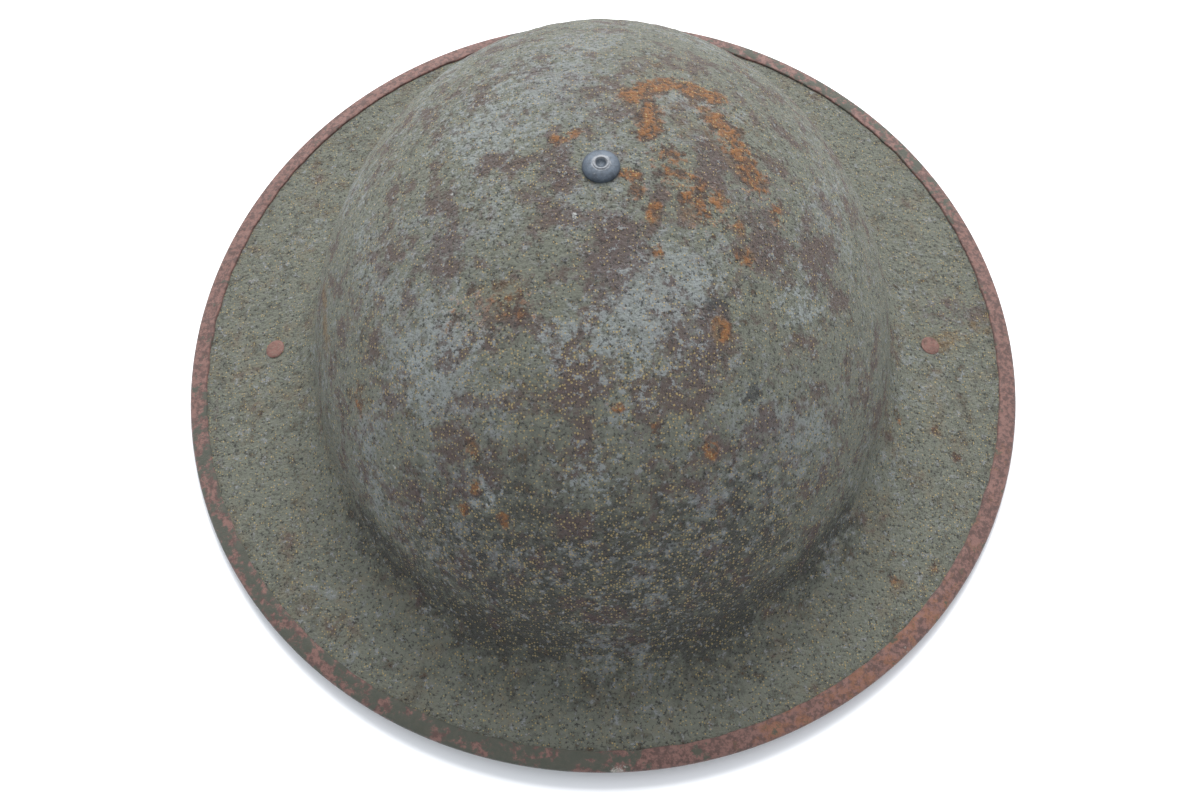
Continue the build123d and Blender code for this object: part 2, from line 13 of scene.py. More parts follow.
import bpy
import numpy as np
from mathutils import Matrix, Vector, noise

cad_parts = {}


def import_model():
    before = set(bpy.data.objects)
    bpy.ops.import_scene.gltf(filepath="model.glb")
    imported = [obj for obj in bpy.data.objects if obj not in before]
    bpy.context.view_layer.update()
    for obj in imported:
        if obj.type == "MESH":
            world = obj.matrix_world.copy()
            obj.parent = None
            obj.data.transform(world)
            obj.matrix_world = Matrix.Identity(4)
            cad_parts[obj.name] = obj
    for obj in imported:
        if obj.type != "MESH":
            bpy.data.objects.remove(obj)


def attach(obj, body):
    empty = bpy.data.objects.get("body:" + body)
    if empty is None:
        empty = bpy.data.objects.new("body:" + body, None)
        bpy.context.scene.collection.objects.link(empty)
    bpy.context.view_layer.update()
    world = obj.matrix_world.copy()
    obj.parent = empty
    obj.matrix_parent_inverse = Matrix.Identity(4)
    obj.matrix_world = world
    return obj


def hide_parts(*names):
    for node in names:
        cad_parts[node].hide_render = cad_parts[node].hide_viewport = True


MM = 0.001
TURN = 2 * math.pi
WELD_REACH = 0.002 * MM
SHARP_EDGE = math.radians(60)

Piece = bpy.types.Object
Material = bpy.types.Material
Tree = bpy.types.NodeTree
Socket = bpy.types.NodeSocket
Pair = tuple[float, float]
Place = tuple[float, float, float]
Line = tuple[Pair, ...]
Outline = list[Pair]
Marks = tuple[tuple[str, float], ...]
Blends = tuple[tuple[object, ...], ...]

log = logging.getLogger("helmet")


# Working on meshes


def deselect_all() -> None:
    """Leaves object mode with nothing selected."""
    if bpy.context.object and bpy.context.object.mode != "OBJECT":
        bpy.ops.object.mode_set(mode="OBJECT")
    bpy.ops.object.select_all(action="DESELECT")


def work_on(piece: Piece) -> None:
    """Selects one object alone and makes it active.

    Args:
        piece: the object.
    """
    deselect_all()
    piece.select_set(True)
    bpy.context.view_layer.objects.active = piece


def edit(piece: Piece) -> None:
    """Opens one piece in edit mode with all of its mesh selected.

    Args:
        piece: the mesh object.
    """
    work_on(piece)
    bpy.ops.object.mode_set(mode="EDIT")
    bpy.ops.mesh.select_all(action="SELECT")


def name_new(name: str) -> Piece:
    """Names the active object, which an operator has just made, and its data.

    Args:
        name: the new name.

    Returns:
        The named object.
    """
    piece = bpy.context.object
    piece.name = name
    piece.data.name = name
    return piece


def link(name: str, data: bpy.types.ID) -> Piece:
    """Puts a mesh or a curve in the scene.

    Args:
        name: the new object's name.
        data: the mesh or curve.

    Returns:
        The new object.
    """
    piece = bpy.data.objects.new(name, data)
    bpy.context.scene.collection.objects.link(piece)
    return piece


def apply_modifier(piece: Piece, kind: str, **settings: object) -> None:
    """Adds one modifier with its settings and applies it.

    Args:
        piece: the mesh object.
        kind: the modifier's type, such as BEVEL.
        settings: the modifier's values.
    """
    work_on(piece)
    modifier = piece.modifiers.new(kind.title(), kind)
    for key, value in settings.items():
        setattr(modifier, key, value)
    bpy.ops.object.modifier_apply(modifier=modifier.name)


def weld(piece: Piece) -> None:
    """Merges doubled points and turns all faces outwards.

    Args:
        piece: the mesh object.
    """
    edit(piece)
    bpy.ops.mesh.remove_doubles(threshold=WELD_REACH)
    bpy.ops.mesh.normals_make_consistent(inside=False)
    bpy.ops.object.mode_set(mode="OBJECT")


def smooth(piece: Piece, degrees: float = 45.0) -> None:
    """Shades a piece smooth, apart from edges sharper than an angle."""
    work_on(piece)
    bpy.ops.object.shade_smooth_by_angle(angle=math.radians(degrees))


def thicken(piece: Piece, thickness: float, soft: float, segments: int = 3) -> None:
    """Gives a sheet its thickness, half to each side, and rounds its edges.

    Args:
        piece: the sheet.
        thickness: its thickness.
        soft: how wide its rounded edges are.
        segments: how many faces each rounded edge has across it.
    """
    weld(piece)
    apply_modifier(piece, "SOLIDIFY", thickness=thickness, offset=0.0)
    weld(piece)
    limit = {"limit_method": "ANGLE", "angle_limit": SHARP_EDGE}
    apply_modifier(piece, "BEVEL", width=soft, segments=segments, **limit)
    smooth(piece)


def join(pieces: Sequence[Piece], name: str) -> Piece:
    """Joins several mesh objects into one.

    Args:
        pieces: the objects, of which the first takes up the rest.
        name: the joined piece's name.

    Returns:
        The joined object.
    """
    deselect_all()
    for piece in pieces:
        piece.select_set(True)
    bpy.context.view_layer.objects.active = pieces[0]
    if len(pieces) > 1:
        bpy.ops.object.join()
    return name_new(name)


def copies(piece: Piece, places: Sequence[Matrix], name: str) -> Piece:
    """Puts a copy of one modelled piece at each place, with its own mesh, and joins them.

    Args:
        piece: the piece to copy, which isn't kept.
        places: where each copy goes.
        name: the joined copies' name.

    Returns:
        The joined object.
    """
    made = []
    for place in places:
        mesh = piece.data.copy()
        mesh.transform(place)
        made.append(link(name, mesh))
    bpy.data.objects.remove(piece)
    return join(made, name)


def cut(piece: Piece, cutter: Piece) -> None:
    """Cuts one mesh out of another and takes the cutter away."""
    apply_modifier(piece, "BOOLEAN", object=cutter, operation="DIFFERENCE", solver="EXACT")
    bpy.data.objects.remove(cutter)


def drill(piece: Piece, radius: float, depth: float, middle: Place, sides: int) -> None:
    """Drills an upright hole in a piece.

    Args:
        piece: the mesh object.
        radius: the drill's radius.
        depth: its length.
        middle: its middle.
        sides: how many faces the hole has round it.
    """
    deselect_all()
    bpy.ops.mesh.primitive_cylinder_add(vertices=sides, radius=radius, depth=depth, location=middle)
    cut(piece, name_new("drill"))


def grid(name: str, lines: Sequence[Sequence[Vector]], cloth: Pair = (1.0, 1.0)) -> Piece:
    """Adds a plane grid and lays it over lines of points.

    Args:
        name: the piece's name.
        lines: the points, each line with as many as the next.
        cloth: the sheet's real length across the lines and along them, which its UV map takes.

    Returns:
        The grid's object.
    """
    columns, rows = len(lines) - 1, len(lines[0]) - 1
    deselect_all()
    bpy.ops.mesh.primitive_grid_add(x_subdivisions=columns, y_subdivisions=rows, size=2)
    piece = name_new(name)
    shares = [((vertex.co.x + 1) / 2, (vertex.co.y + 1) / 2) for vertex in piece.data.vertices]
    points = []
    for u, v in shares:
        points.extend(lines[round(u * columns)][round(v * rows)])
    piece.data.vertices.foreach_set("co", points)
    threads = []
    for loop in piece.data.loops:
        u, v = shares[loop.vertex_index]
        threads.extend((u * cloth[0], v * cloth[1]))
    piece.data.uv_layers[0].data.foreach_set("uv", threads)
    piece.data.update()
    return piece


def spot(theta: float, radius: float, height: float) -> Vector:
    """The point in the direction theta at a radius and a height."""
    return Vector((radius * math.cos(theta), radius * math.sin(theta), height))


def along_ring(theta: float, radius: float, height: float) -> Matrix:
    """The place of something that lies along a ring round the Z axis."""
    return Matrix.Translation(spot(theta, radius, height)) @ Matrix.Rotation(theta + math.pi / 2, 4, "Z")


def spaced(start: float, end: float, steps: int) -> list[float]:
    """Values at even steps from start to end, both among them."""
    return [start + (end - start) * index / steps for index in range(steps + 1)]


def turns(count: int, offset: float = 0.0) -> list[float]:
    """Directions at even angles right round the Z axis."""
    return [TURN * (index + offset) / count for index in range(count)]


def between(first: Pair, second: Pair, share: float) -> Pair:
    """The point at a share of the way from one point to another."""
    return tuple(a + (b - a) * share for a, b in zip(first, second))


def length_of(points: Sequence[Sequence[float]]) -> float:
    """Length of a line through some points."""
    return sum(math.dist(first, second) for first, second in zip(points, points[1:]))


def arc(middle: Pair, radius: float, start: float, end: float, steps: int) -> Outline:
    """Points along an arc, between two angles in degrees."""
    angles = map(math.radians, spaced(start, end, steps))
    return [(middle[0] + radius * math.cos(turn), middle[1] + radius * math.sin(turn)) for turn in angles]


def rounded_loop(length: float, half_width: float, corner: float, steps: int = 6) -> Outline:
    """A loop with round corners, from 0 to its length and as far to both sides.

    Args:
        length: the loop's length.
        half_width: half its width.
        corner: its corners' radius.
        steps: how many steps each corner takes.

    Returns:
        The loop's points.
    """
    far, side = length - corner, half_width - corner
    points = []
    for quarter, middle in enumerate(((far, side), (corner, side), (corner, -side), (far, -side))):
        points.extend(arc(middle, corner, 90 * quarter, 90 * quarter + 90, steps))
    return points


def even(line: Outline, step: float) -> Outline:
    """Points at even distances along a line, its two ends among them.

    Args:
        line: the line's points.
        step: about how far apart the new points are.

    Returns:
        The new points.
    """
    total = length_of(line)
    count = max(2, round(total / step))
    points = [line[0]]
    gone = 0.0
    for first, second in zip(line, line[1:]):
        run = math.dist(first, second)
        while len(points) < count and gone + run >= total * len(points) / count:
            points.append(between(first, second, (total * len(points) / count - gone) / run))
        gone += run
    points.append(line[-1])
    return points


def round_piece(name: str, section: Callable[[float], Outline], columns: int) -> Piece:
    """Sweeps a closed outline right round the helmet.

    Args:
        name: the piece's name.
        section: gives the outline in the direction theta, as (radius, height) corners.
        columns: how many steps it takes round the Z axis.

    Returns:
        The closed piece, facing outwards.
    """
    outlines = [section(theta) for theta in turns(columns)]
    lines = []
    for theta, outline in zip(turns(columns), outlines):
        lines.append([spot(theta, *corner) for corner in outline + outline[:1]])
    reach = sum(outline[-1][0] for outline in outlines) / columns
    piece = grid(name, lines + lines[:1], (TURN * reach, length_of(outlines[0])))
    weld(piece)
    smooth(piece)
    return piece


def spun(name: str, outline: Outline, steps: int) -> Piece:
    """Spins an outline about the Z axis.

    Args:
        name: the piece's name.
        outline: (radius, height) corners, from axis to axis or closed on itself.
        steps: how many steps the spin takes.

    Returns:
        The closed piece, facing outwards.
    """
    count = len(outline)
    closed = outline[0][0] > 0
    edges = [(index, (index + 1) % count) for index in range(count if closed else count - 1)]
    mesh = bpy.data.meshes.new(name)
    mesh.from_pydata([(radius, 0, height) for radius, height in outline], edges, [])
    piece = link(name, mesh)
    edit(piece)
    bpy.ops.mesh.spin(steps=steps, angle=TURN, center=(0, 0, 0), axis=(0, 0, 1))
    weld(piece)
    smooth(piece)
    return piece


def strip(
    name: str, line: Outline, half_width: Callable[[float], float], thickness: float, step: float = 1.0 * MM
) -> Piece:
    """Bends a flat strip along a line in the XZ plane, with its width along Y.

    Args:
        name: the piece's name.
        line: the (x, z) points of its middle, which may end where they start.
        half_width: half its width at a distance from the line's far end.
        thickness: the strip's thickness.
        step: how far apart its rows of points are.

    Returns:
        The closed piece, with softened edges.
    """
    total = length_of(line)
    points = even(line, step)
    lines = []
    for (x, z), to_end in zip(points, spaced(total, 0.0, len(points) - 1)):
        lines.append([Vector((x, share * half_width(to_end), z)) for share in spaced(-1.0, 1.0, 6)])
    piece = grid(name, lines, (total, 2 * half_width(total)))
    thicken(piece, thickness, 0.2 * thickness)
    return piece


def wire(
    name: str, points: Sequence[Vector], radius: float, closed: bool = False, sides: int = 16
) -> Piece:
    """A round wire or cord along some points.

    Args:
        name: the piece's name.
        points: its middle line.
        radius: its half thickness.
        closed: whether it runs back to its start.
        sides: how many faces it has round it.

    Returns:
        The wire as a mesh.
    """
    curve = bpy.data.curves.new(name, "CURVE")
    curve.dimensions = "3D"
    line = curve.splines.new("POLY")
    line.points.add(len(points) - 1)
    for knot, point in zip(line.points, points):
        knot.co = (*point, 1)
    line.use_cyclic_u = closed
    curve.bevel_depth = radius
    curve.bevel_resolution = sides // 2 - 2
    curve.use_fill_caps = not closed
    work_on(link(name, curve))
    bpy.ops.object.convert(target="MESH")
    piece = name_new(name)
    weld(piece)
    smooth(piece)
    return piece


def stitches(name: str, places: Sequence[Matrix], length: float, radius: float) -> Piece:
    """Rows of thread stitches, each pulled thin at both ends, along their own X.

    Args:
        name: the piece's name.
        places: where each stitch lies.
        length: one stitch's length.
        radius: the thread's half thickness.

    Returns:
        The joined stitches.
    """
    deselect_all()
    bpy.ops.mesh.primitive_uv_sphere_add(segments=8, ring_count=6, radius=radius)
    one = name_new(name)
    edit(one)
    bpy.ops.transform.resize(value=(length / radius / 2, 1, 1))
    smooth(one, 180)
    return copies(one, places, name)


def push(piece: Piece, lift: Callable[[Vector], float]) -> None:
    """Moves each point of a mesh along its normal.

    Args:
        piece: the mesh object.
        lift: how far out a point goes, by its place.
    """
    points = []
    for vertex in piece.data.vertices:
        points.extend(vertex.co + vertex.normal * lift(vertex.co))
    piece.data.vertices.foreach_set("co", points)
    piece.data.update()


def press(piece: Piece, width: float, depth: float) -> None:
    """Presses hollows of a width and a depth in a soft piece, and never pushes it out."""
    push(piece, lambda place: depth * (noise.noise(place / width) - 1) / 2)


def points_of(piece: Piece) -> np.ndarray:
    """A mesh's points.

    Args:
        piece: the mesh object.

    Returns:
        One row for each point.
    """
    points = np.empty(3 * len(piece.data.vertices))
    piece.data.vertices.foreach_get("co", points)
    return points.reshape(-1, 3)


def paint_share(piece: Piece, name: str, share: np.ndarray) -> None:
    """Stores a value from 0 to 1 on each point, for the piece's shader."""
    layer = piece.data.attributes.new(name, "FLOAT", "POINT")
    layer.data.foreach_set("value", share.astype(np.float32))


# Finishes


class Node(Enum):
    """The shader nodes that the finishes are made of."""

    NOISE = "ShaderNodeTexNoise"
    CELLS = "ShaderNodeTexVoronoi"
    CHECKS = "ShaderNodeTexChecker"
    WAVES = "ShaderNodeTexWave"
    RANGE = "ShaderNodeMapRange"
    MATHS = "ShaderNodeMath"
    MIX = "ShaderNodeMix"
    PLACE = "ShaderNodeTexCoord"
    STRETCH = "ShaderNodeMapping"
    PAINTED = "ShaderNodeAttribute"
    CHANNELS = "ShaderNodeSeparateColor"
    AXES = "ShaderNodeSeparateXYZ"
    RELIEF = "ShaderNodeBump"
    SURFACE = "ShaderNodeBsdfPrincipled"
    OUTPUT = "ShaderNodeOutputMaterial"


# A wave texture makes ten bands over a length of pi
BAND_SCALE = math.pi / 10


def linear(colour: str) -> tuple[float, float, float, float]:
    """Turns an sRGB hex colour to the linear red, green, blue and alpha that a socket takes.

    Args:
        colour: six hex digits with a leading hash.

    Returns:
        Linear red, green, blue and alpha.
    """
    shares = [int(colour[index : index + 2], 16) / 255 for index in (1, 3, 5)]
    curved = [share / 12.92 if share <= 0.04045 else ((share + 0.055) / 1.055) ** 2.4 for share in shares]
    return (*curved, 1.0)


def per_mm(size: float) -> float:
    """Scale of a pattern whose marks are about size millimetres wide."""
    return 1 / (size * MM)


def ragged(place: Socket, size: float) -> dict[str, object]:
    """What a noise texture is given for ragged marks about size millimetres wide."""
    return {"Vector": place, "Scale": per_mm(size), "Detail": 6.0, "Roughness": 0.72}


def add(
    tree: Tree, node: Node, inputs: dict[object, object], output: object = 0, **settings: object
) -> Socket | None:
    """Adds one node with its settings and fills its inputs.

    Args:
        tree: the material's node tree.
        node: the node's kind.
        inputs: input name or number, and a socket, a hex colour or a value for it.
        output: name or number of the output to give back.
        settings: the node's own properties.

    Returns:
        The output's socket.
    """
    made = tree.nodes.new(node.value)
    for key, value in settings.items():
        setattr(made, key, value)
    for key, value in inputs.items():
        if isinstance(value, bpy.types.NodeSocket):
            tree.links.new(value, made.inputs[key])
        else:
            made.inputs[key].default_value = linear(value) if isinstance(value, str) else value
    return made.outputs[output] if made.outputs else None


@dataclass(frozen=True)
class Coat:
    """Something that lies over the colours below and shows as its pattern rises from low to high.

    It hides them by no more than top. Where the wear named by painted was painted on the mesh, the
    pattern is raised by weight.
    """

    what: str
    colour: str
    pattern: str
    low: float
    high: float
    top: float
    painted: str = ""
    weight: float = 0.0


@dataclass(frozen=True)
class Spread:
    """A value that goes from least to most as its pattern rises from low to high."""

    pattern: str
    low: float
    high: float
    least: float
    most: float


Coats = tuple[Coat, ...]
Amount = float | Spread
Relief = tuple[str, float] | None


@dataclass(frozen=True)
class Finish:
    """A surface: its colour, the coats over it, its gloss and its relief.

    Each mark is a ragged pattern's name and the width of its marks in millimetres. Each blend is a
    new pattern's name and the patterns that it adds up, with their weights. Cells are a net of
    lines, about cell_mm wide. The pattern named cells goes from 0 to 1 between the two distances
    from a line in cell_line. The relief is a pattern's name and its depth in millimetres.
    """

    name: str = "plain"
    colour: str = "#808080"
    marks: Marks = ()
    blends: Blends = ()
    coats: Coats = ()
    cell_mm: float = 0.0
    cell_line: Pair = (0.0, 1.0)
    roughness: Amount = 0.8
    metallic: Amount = 0.0
    relief: Relief = None
    specular: float = 0.5
    sheen: float = 0.0
    sheen_roughness: float = 0.5

    def build(self) -> Material:
        """Makes the material.

        Returns:
            The material.
        """
        material = bpy.data.materials.new(self.name)
        material.use_nodes = True
        tree = material.node_tree
        tree.nodes.clear()
        patterns = self.patterns(tree, add(tree, Node.PLACE, {}, "Object"))
        for word, *parts in self.blends:
            total = 0.0
            for part, weight in parts:
                inputs = {0: patterns[part], 1: weight, 2: total}
                total = add(tree, Node.MATHS, inputs, operation="MULTIPLY_ADD")
            patterns[word] = total
        surface = {
            "Base Color": self.lay(tree, patterns),
            "Roughness": self.roughness,
            "Metallic": self.metallic,
            "Specular IOR Level": self.specular,
            "Sheen Weight": self.sheen,
            "Sheen Roughness": self.sheen_roughness,
        }
        for word, value in surface.items():
            if isinstance(value, Spread):
                ends = {"Value": patterns[value.pattern], "From Min": value.low, "From Max": value.high}
                ends.update({"To Min": value.least, "To Max": value.most})
                surface[word] = add(tree, Node.RANGE, ends)
        if self.relief:
            word, depth = self.relief
            surface["Normal"] = add(tree, Node.RELIEF, {"Height": patterns[word], "Distance": depth * MM})
        add(tree, Node.OUTPUT, {0: add(tree, Node.SURFACE, surface)})
        log.info("finish %s", self.name)
        return material

    def patterns(self, tree: Tree, place: Socket) -> dict[str, Socket]:
        """Makes the patterns that the coats, the gloss and the relief read.

        Args:
            tree: the material's node tree.
            place: the coordinates that the patterns are read at.

        Returns:
            Each pattern by its name, the ragged ones about 0.5 in the middle of their range.
        """
        made = {word: add(tree, Node.NOISE, ragged(place, size)) for word, size in self.marks}
        if self.cell_mm:
            cells = {"Vector": place, "Scale": per_mm(self.cell_mm)}
            away = add(tree, Node.CELLS, cells, 0, feature="DISTANCE_TO_EDGE")
            ends = {"Value": away, "From Min": self.cell_line[0], "From Max": self.cell_line[1]}
            made["cells"] = add(tree, Node.RANGE, ends)
        return made

    def lay(self, tree: Tree, patterns: dict[str, Socket]) -> object:
        """Lays the coats over the colour.

        Args:
            tree: the material's node tree.
            patterns: each pattern by its name.

        Returns:
            The colour's socket, or the colour alone where no coat lies over it.
        """
        colour = self.colour
        for coat in self.coats:
            pattern = patterns[coat.pattern]
            if coat.painted:
                worn = add(tree, Node.PAINTED, {}, "Fac", attribute_name=coat.painted)
                raised = {0: worn, 1: coat.weight, 2: pattern}
                pattern = add(tree, Node.MATHS, raised, operation="MULTIPLY_ADD")
            ends = {"Value": pattern, "From Min": coat.low, "From Max": coat.high, "To Max": coat.top}
            layers = {0: add(tree, Node.RANGE, ends), 6: colour, 7: coat.colour}
            colour = add(tree, Node.MIX, layers, 2, data_type="RGBA", label=coat.what)
        return colour


@dataclass(frozen=True)
class SandPaint(Finish):
    """Matt olive paint thick with sand, brushed on at the works and a century old.

    The sand gives a dull rough crust. Its pale grains are partly the sand's own colour and partly a
    painted glint on their tops, and its pits are darkened with painted shade. The paint has chalked to
    grey-blue, is rubbed through to purple-brown steel and has rusted orange round the chips. Painted
    shade also darkens the lower front of the bowl and the flare.
    The grains are drawn about twice as coarse as real sand, so that they show. The relief's
    pattern spans only about a tenth of its range, so its depth gives a crust of about 0.4 mm.
    """

    name: str = "sand_paint"
    colour: str = "#808373"
    marks: Marks = (
        ("wide", 34.0),
        ("blots", 12.0),
        ("ragged", 5.0),
        ("flecks", 2.6),
        ("grit", 1.1),
    )
    blends: Blends = (
        ("rubbed", ("blots", 1.0), ("brim", 1.0)),
        ("dusty", ("wide", 1.0), ("flecks", 1.0), ("brim", 1.0)),
        ("hollow", ("grit", -1.0)),
        ("crust", ("flecks", 1.7), ("tops", 0.16), ("grit", 1.0)),
    )
    coats: Coats = (
        Coat("ochre bloom", "#8a6c41", "blots", 0.5, 0.66, 0.35, "ochre", 0.1),
        # Dark paint in ragged patches all over, and painted shade over the lower front of the bowl and the
        # flare, where the dark strokes lie.
        Coat("dark paint and painted shade", "#2b2b21", "ragged", 0.5, 0.72, 0.85, "dark", 0.22),
        Coat("chalked paint", "#a5acab", "dusty", 1.02, 1.15, 0.6, "chalk", 0.14),
        Coat("rubbed steel", "#5b4441", "rubbed", 0.51, 0.6, 0.75, "bare", 0.1),
        Coat("bare flecks", "#5b4441", "flecks", 0.56, 0.64, 0.6, "bare", 0.1),
        Coat("chalk flecks", "#a5acab", "flecks", 0.58, 0.64, 0.8, "chalk", 0.1),
        Coat("dark stain", "#25272c", "ragged", 0.64, 0.74, 0.7, "stain", 0.2),
        Coat("ochre spots", "#8a6c41", "ragged", 0.6, 0.76, 0.7, "ochre", 0.2),
        Coat("rust halo", "#8a6c41", "blots", 0.68, 0.8, 0.6, "rust", 0.26),
        Coat("brown rust", "#4d3222", "ragged", 0.63, 0.72, 0.85, "rust", 0.26),
        Coat("orange rust", "#a3692b", "flecks", 0.66, 0.8, 0.95, "rust", 0.26),
        Coat("white specks", "#d9dad6", "flecks", 0.74, 0.82, 0.9, "white", 0.32),
        # Pale sand grains, on the lower front most of all: partly the sand's own colour and partly a
        # painted glint on each grain's top.
        Coat("sand grains and painted glint", "#c9b070", "grains", 0.45, 0.58, 0.85, "sand_and_glint", 0.18),
        # Painted shade in the crust's pits, where its grit is lowest.
        Coat("pits", "#1b1a16", "hollow", -0.465, -0.39, 0.85),
    )
    roughness: Amount = 0.88
    relief: Relief = ("crust", 3.8)
    specular: float = 0.3
    sheen: float = 0.12
    grain_mm: float = 0.85
    # Shares of a cell, out from a grain's middle, to its foot and to its flat top
    grain_edge: Pair = (0.55, 0.1)
    brim_calm: float = -0.09
    # The brim's calm is full below the first height and gone above the second
    brim_heights: Pair = (10.0 * MM, 40.0 * MM)

    def patterns(self, tree: Tree, place: Socket) -> dict[str, Socket]:
        """Adds the sand's grains, and a share that keeps wear off the low brim.

        Args:
            tree: the material's node tree.
            place: the coordinates that the patterns are read at.

        Returns:
            Each pattern by its name.
        """
        made = super().patterns(tree, place)
        cells = {"Vector": place, "Scale": per_mm(self.grain_mm)}
        kind = add(tree, Node.CHANNELS, {0: add(tree, Node.CELLS, cells, "Color")})
        edge, top = self.grain_edge
        away = add(tree, Node.CELLS, cells, "Distance")
        # The grains' tops, which raise the relief and carry the pale grains' painted glint.
        made["tops"] = add(tree, Node.RANGE, {"Value": away, "From Min": edge, "From Max": top})
        made["grains"] = add(tree, Node.MATHS, {0: kind, 1: made["tops"]}, operation="MULTIPLY")
        low, high = self.brim_heights
        ends = {"From Min": low, "From Max": high, "To Min": self.brim_calm, "To Max": 0.0}
        made["brim"] = add(tree, Node.RANGE, {"Value": add(tree, Node.AXES, {0: place}, "Z"), **ends})
        return made


@dataclass(frozen=True)
class RustedStrip(Finish):
    """Thin mild-steel strip, folded cold and rusted red-brown, with crumbs of old green paint."""

    name: str = "rusted_strip"
    colour: str = "#6b4e47"
    marks: Marks = (("ragged", 5.0), ("flecks", 1.8))
    blends: Blends = (("scale", ("ragged", 1.0), ("flecks", 1.0)),)
    coats: Coats = (
        Coat("brown scale", "#3d2d29", "flecks", 0.44, 0.56, 0.8),
        Coat("orange rust", "#7b5138", "ragged", 0.62, 0.75, 0.75, "orange", 0.16),
        Coat("paint crumbs", "#3a3f36", "ragged", 0.58, 0.64, 0.9, "crumbs", 0.16),
        Coat("pale scuff", "#b9b3ab", "flecks", 0.78, 0.92, 0.6, "scuff", 0.32),
    )
    roughness: Amount = Spread("ragged", 0.3, 0.7, 0.6, 0.85)
    relief: Relief = ("scale", 0.3)
    specular: float = 0.35
    sheen: float = 0.15


@dataclass(frozen=True)
class BluedSteel(Finish):
    """Turned steel of the crown rivet, blued and now dull, with its lip rubbed bright."""

    name: str = "blued_steel"
    colour: str = "#48515b"
    marks: Marks = (("cloud", 3.0), ("flecks", 0.8))
    coats: Coats = (
        Coat("dark blueing", "#2c3137", "cloud", 0.45, 0.65, 0.7),
        Coat("rubbed lip", "#7d7f82", "flecks", 0.6, 0.95, 0.9, "worn", 0.5),
    )
    roughness: Amount = Spread("cloud", 0.3, 0.7, 0.5, 0.72)
    metallic: Amount = 0.3
    relief: Relief = ("flecks", 0.12)


@dataclass(frozen=True)
class RustedIron(Finish):
    """Forged and drawn iron fittings, rusted all over to a dry red-brown with dark scale."""

    name: str = "rusted_iron"
    colour: str = "#6a4a42"
    marks: Marks = (("patches", 3.0), ("flecks", 0.9))
    coats: Coats = (
        Coat("dark scale", "#33251f", "patches", 0.48, 0.68, 0.8),
        Coat("grey dust", "#716c60", "flecks", 0.5, 0.75, 0.7),
    )
    roughness: Amount = Spread("patches", 0.3, 0.7, 0.6, 0.85)
    metallic: Amount = 0.15
    relief: Relief = ("flecks", 0.2)


@dataclass(frozen=True)
class Japanned(Finish):
    """Buckle steel dipped in black japan, worn grey on its high places and rusting in spots."""

    name: str = "japanned_steel"
    colour: str = "#211f1e"
    marks: Marks = (("patches", 4.0), ("flecks", 1.2))
    coats: Coats = (
        Coat("worn steel", "#5e5a55", "patches", 0.54, 0.66, 0.7),
        Coat("rust spots", "#5f3d2a", "flecks", 0.56, 0.66, 0.75),
    )
    roughness: Amount = Spread("flecks", 0.3, 0.7, 0.35, 0.65)
    metallic: Amount = Spread("patches", 0.5, 0.6, 0.0, 0.8)
    relief: Relief = ("flecks", 0.1)


@dataclass(frozen=True)
class Webbing(Finish):
    """Unbleached cotton webbing, grubby with age, in a plain weave.

    Its threads are drawn about twice as wide as real ones, so that they show.
    """

    name: str = "cotton_webbing"
    colour: str = "#8f8266"
    marks: Marks = (("grime", 14.0), ("fluff", 1.0))
    blends: Blends = (
        ("hollow", ("weave", -1.0)),
        ("threads", ("fluff", 0.4), ("weave", 1.0)),
    )
    coats: Coats = (
        Coat("grime", "#51483a", "grime", 0.42, 0.68, 0.8),
        # Painted shade between the threads, where the weave's relief is low.
        Coat("painted shade between threads", "#51483a", "hollow", -0.35, 0.0, 0.6),
    )
    roughness: Amount = 0.93
    relief: Relief = ("threads", 0.35)
    sheen: float = 0.3
    sheen_roughness: float = 0.6
    thread_mm: float = 1.1

    def patterns(self, tree: Tree, place: Socket) -> dict[str, Socket]:
        """Adds the weave, on the piece's own UV map, which is in metres.

        Args:
            tree: the material's node tree.
            place: the coordinates that the other patterns are read at.

        Returns:
            Each pattern by its name.
        """
        made = super().patterns(tree, place)
        cloth = add(tree, Node.PLACE, {}, "UV")
        over = add(tree, Node.CHECKS, {"Vector": cloth, "Scale": per_mm(self.thread_mm)}, "Fac")
        bands = {"Vector": cloth, "Scale": per_mm(self.thread_mm) * BAND_SCALE}
        weft, warp = [add(tree, Node.WAVES, bands, "Fac", bands_direction=axis) for axis in "XY"]
        made["weave"] = add(tree, Node.MIX, {0: over, 2: weft, 3: warp}, 0, data_type="FLOAT")
        return made


@dataclass(frozen=True)
class WoolFelt(Finish):
    """Pressed grey wool felt: matt, with short fibres lying every way and moth-thin places.

    Its fibres are drawn many times as wide as real ones, so that they show.
    """

    name: str = "wool_felt"
    colour: str = "#85806f"
    marks: Marks = (("tufts", 9.0),)
    blends: Blends = (("nap", ("one_way", 1.0), ("other_way", 1.0)),)
    coats: Coats = (
        Coat("thin places", "#5c574a", "tufts", 0.45, 0.68, 0.7),
        Coat("pale fibres", "#a39e8d", "nap", 1.02, 1.25, 0.6),
    )
    roughness: Amount = 0.97
    relief: Relief = ("nap", 0.4)
    sheen: float = 0.5
    sheen_roughness: float = 0.7
    fibre_mm: float = 0.7
    fibre_ways: tuple[tuple[str, Place], ...] = (
        ("one_way", (1.0, 0.25, 0.6)),
        ("other_way", (0.3, 1.0, 0.5)),
    )

    def patterns(self, tree: Tree, place: Socket) -> dict[str, Socket]:
        """Adds fibres stretched in two directions.

        Args:
            tree: the material's node tree.
            place: the coordinates that the patterns are read at.

        Returns:
            Each pattern by its name.
        """
        made = super().patterns(tree, place)
        for word, scale in self.fibre_ways:
            lying = add(tree, Node.STRETCH, {0: place, "Scale": scale})
            made[word] = add(tree, Node.NOISE, ragged(lying, self.fibre_mm))
        return made


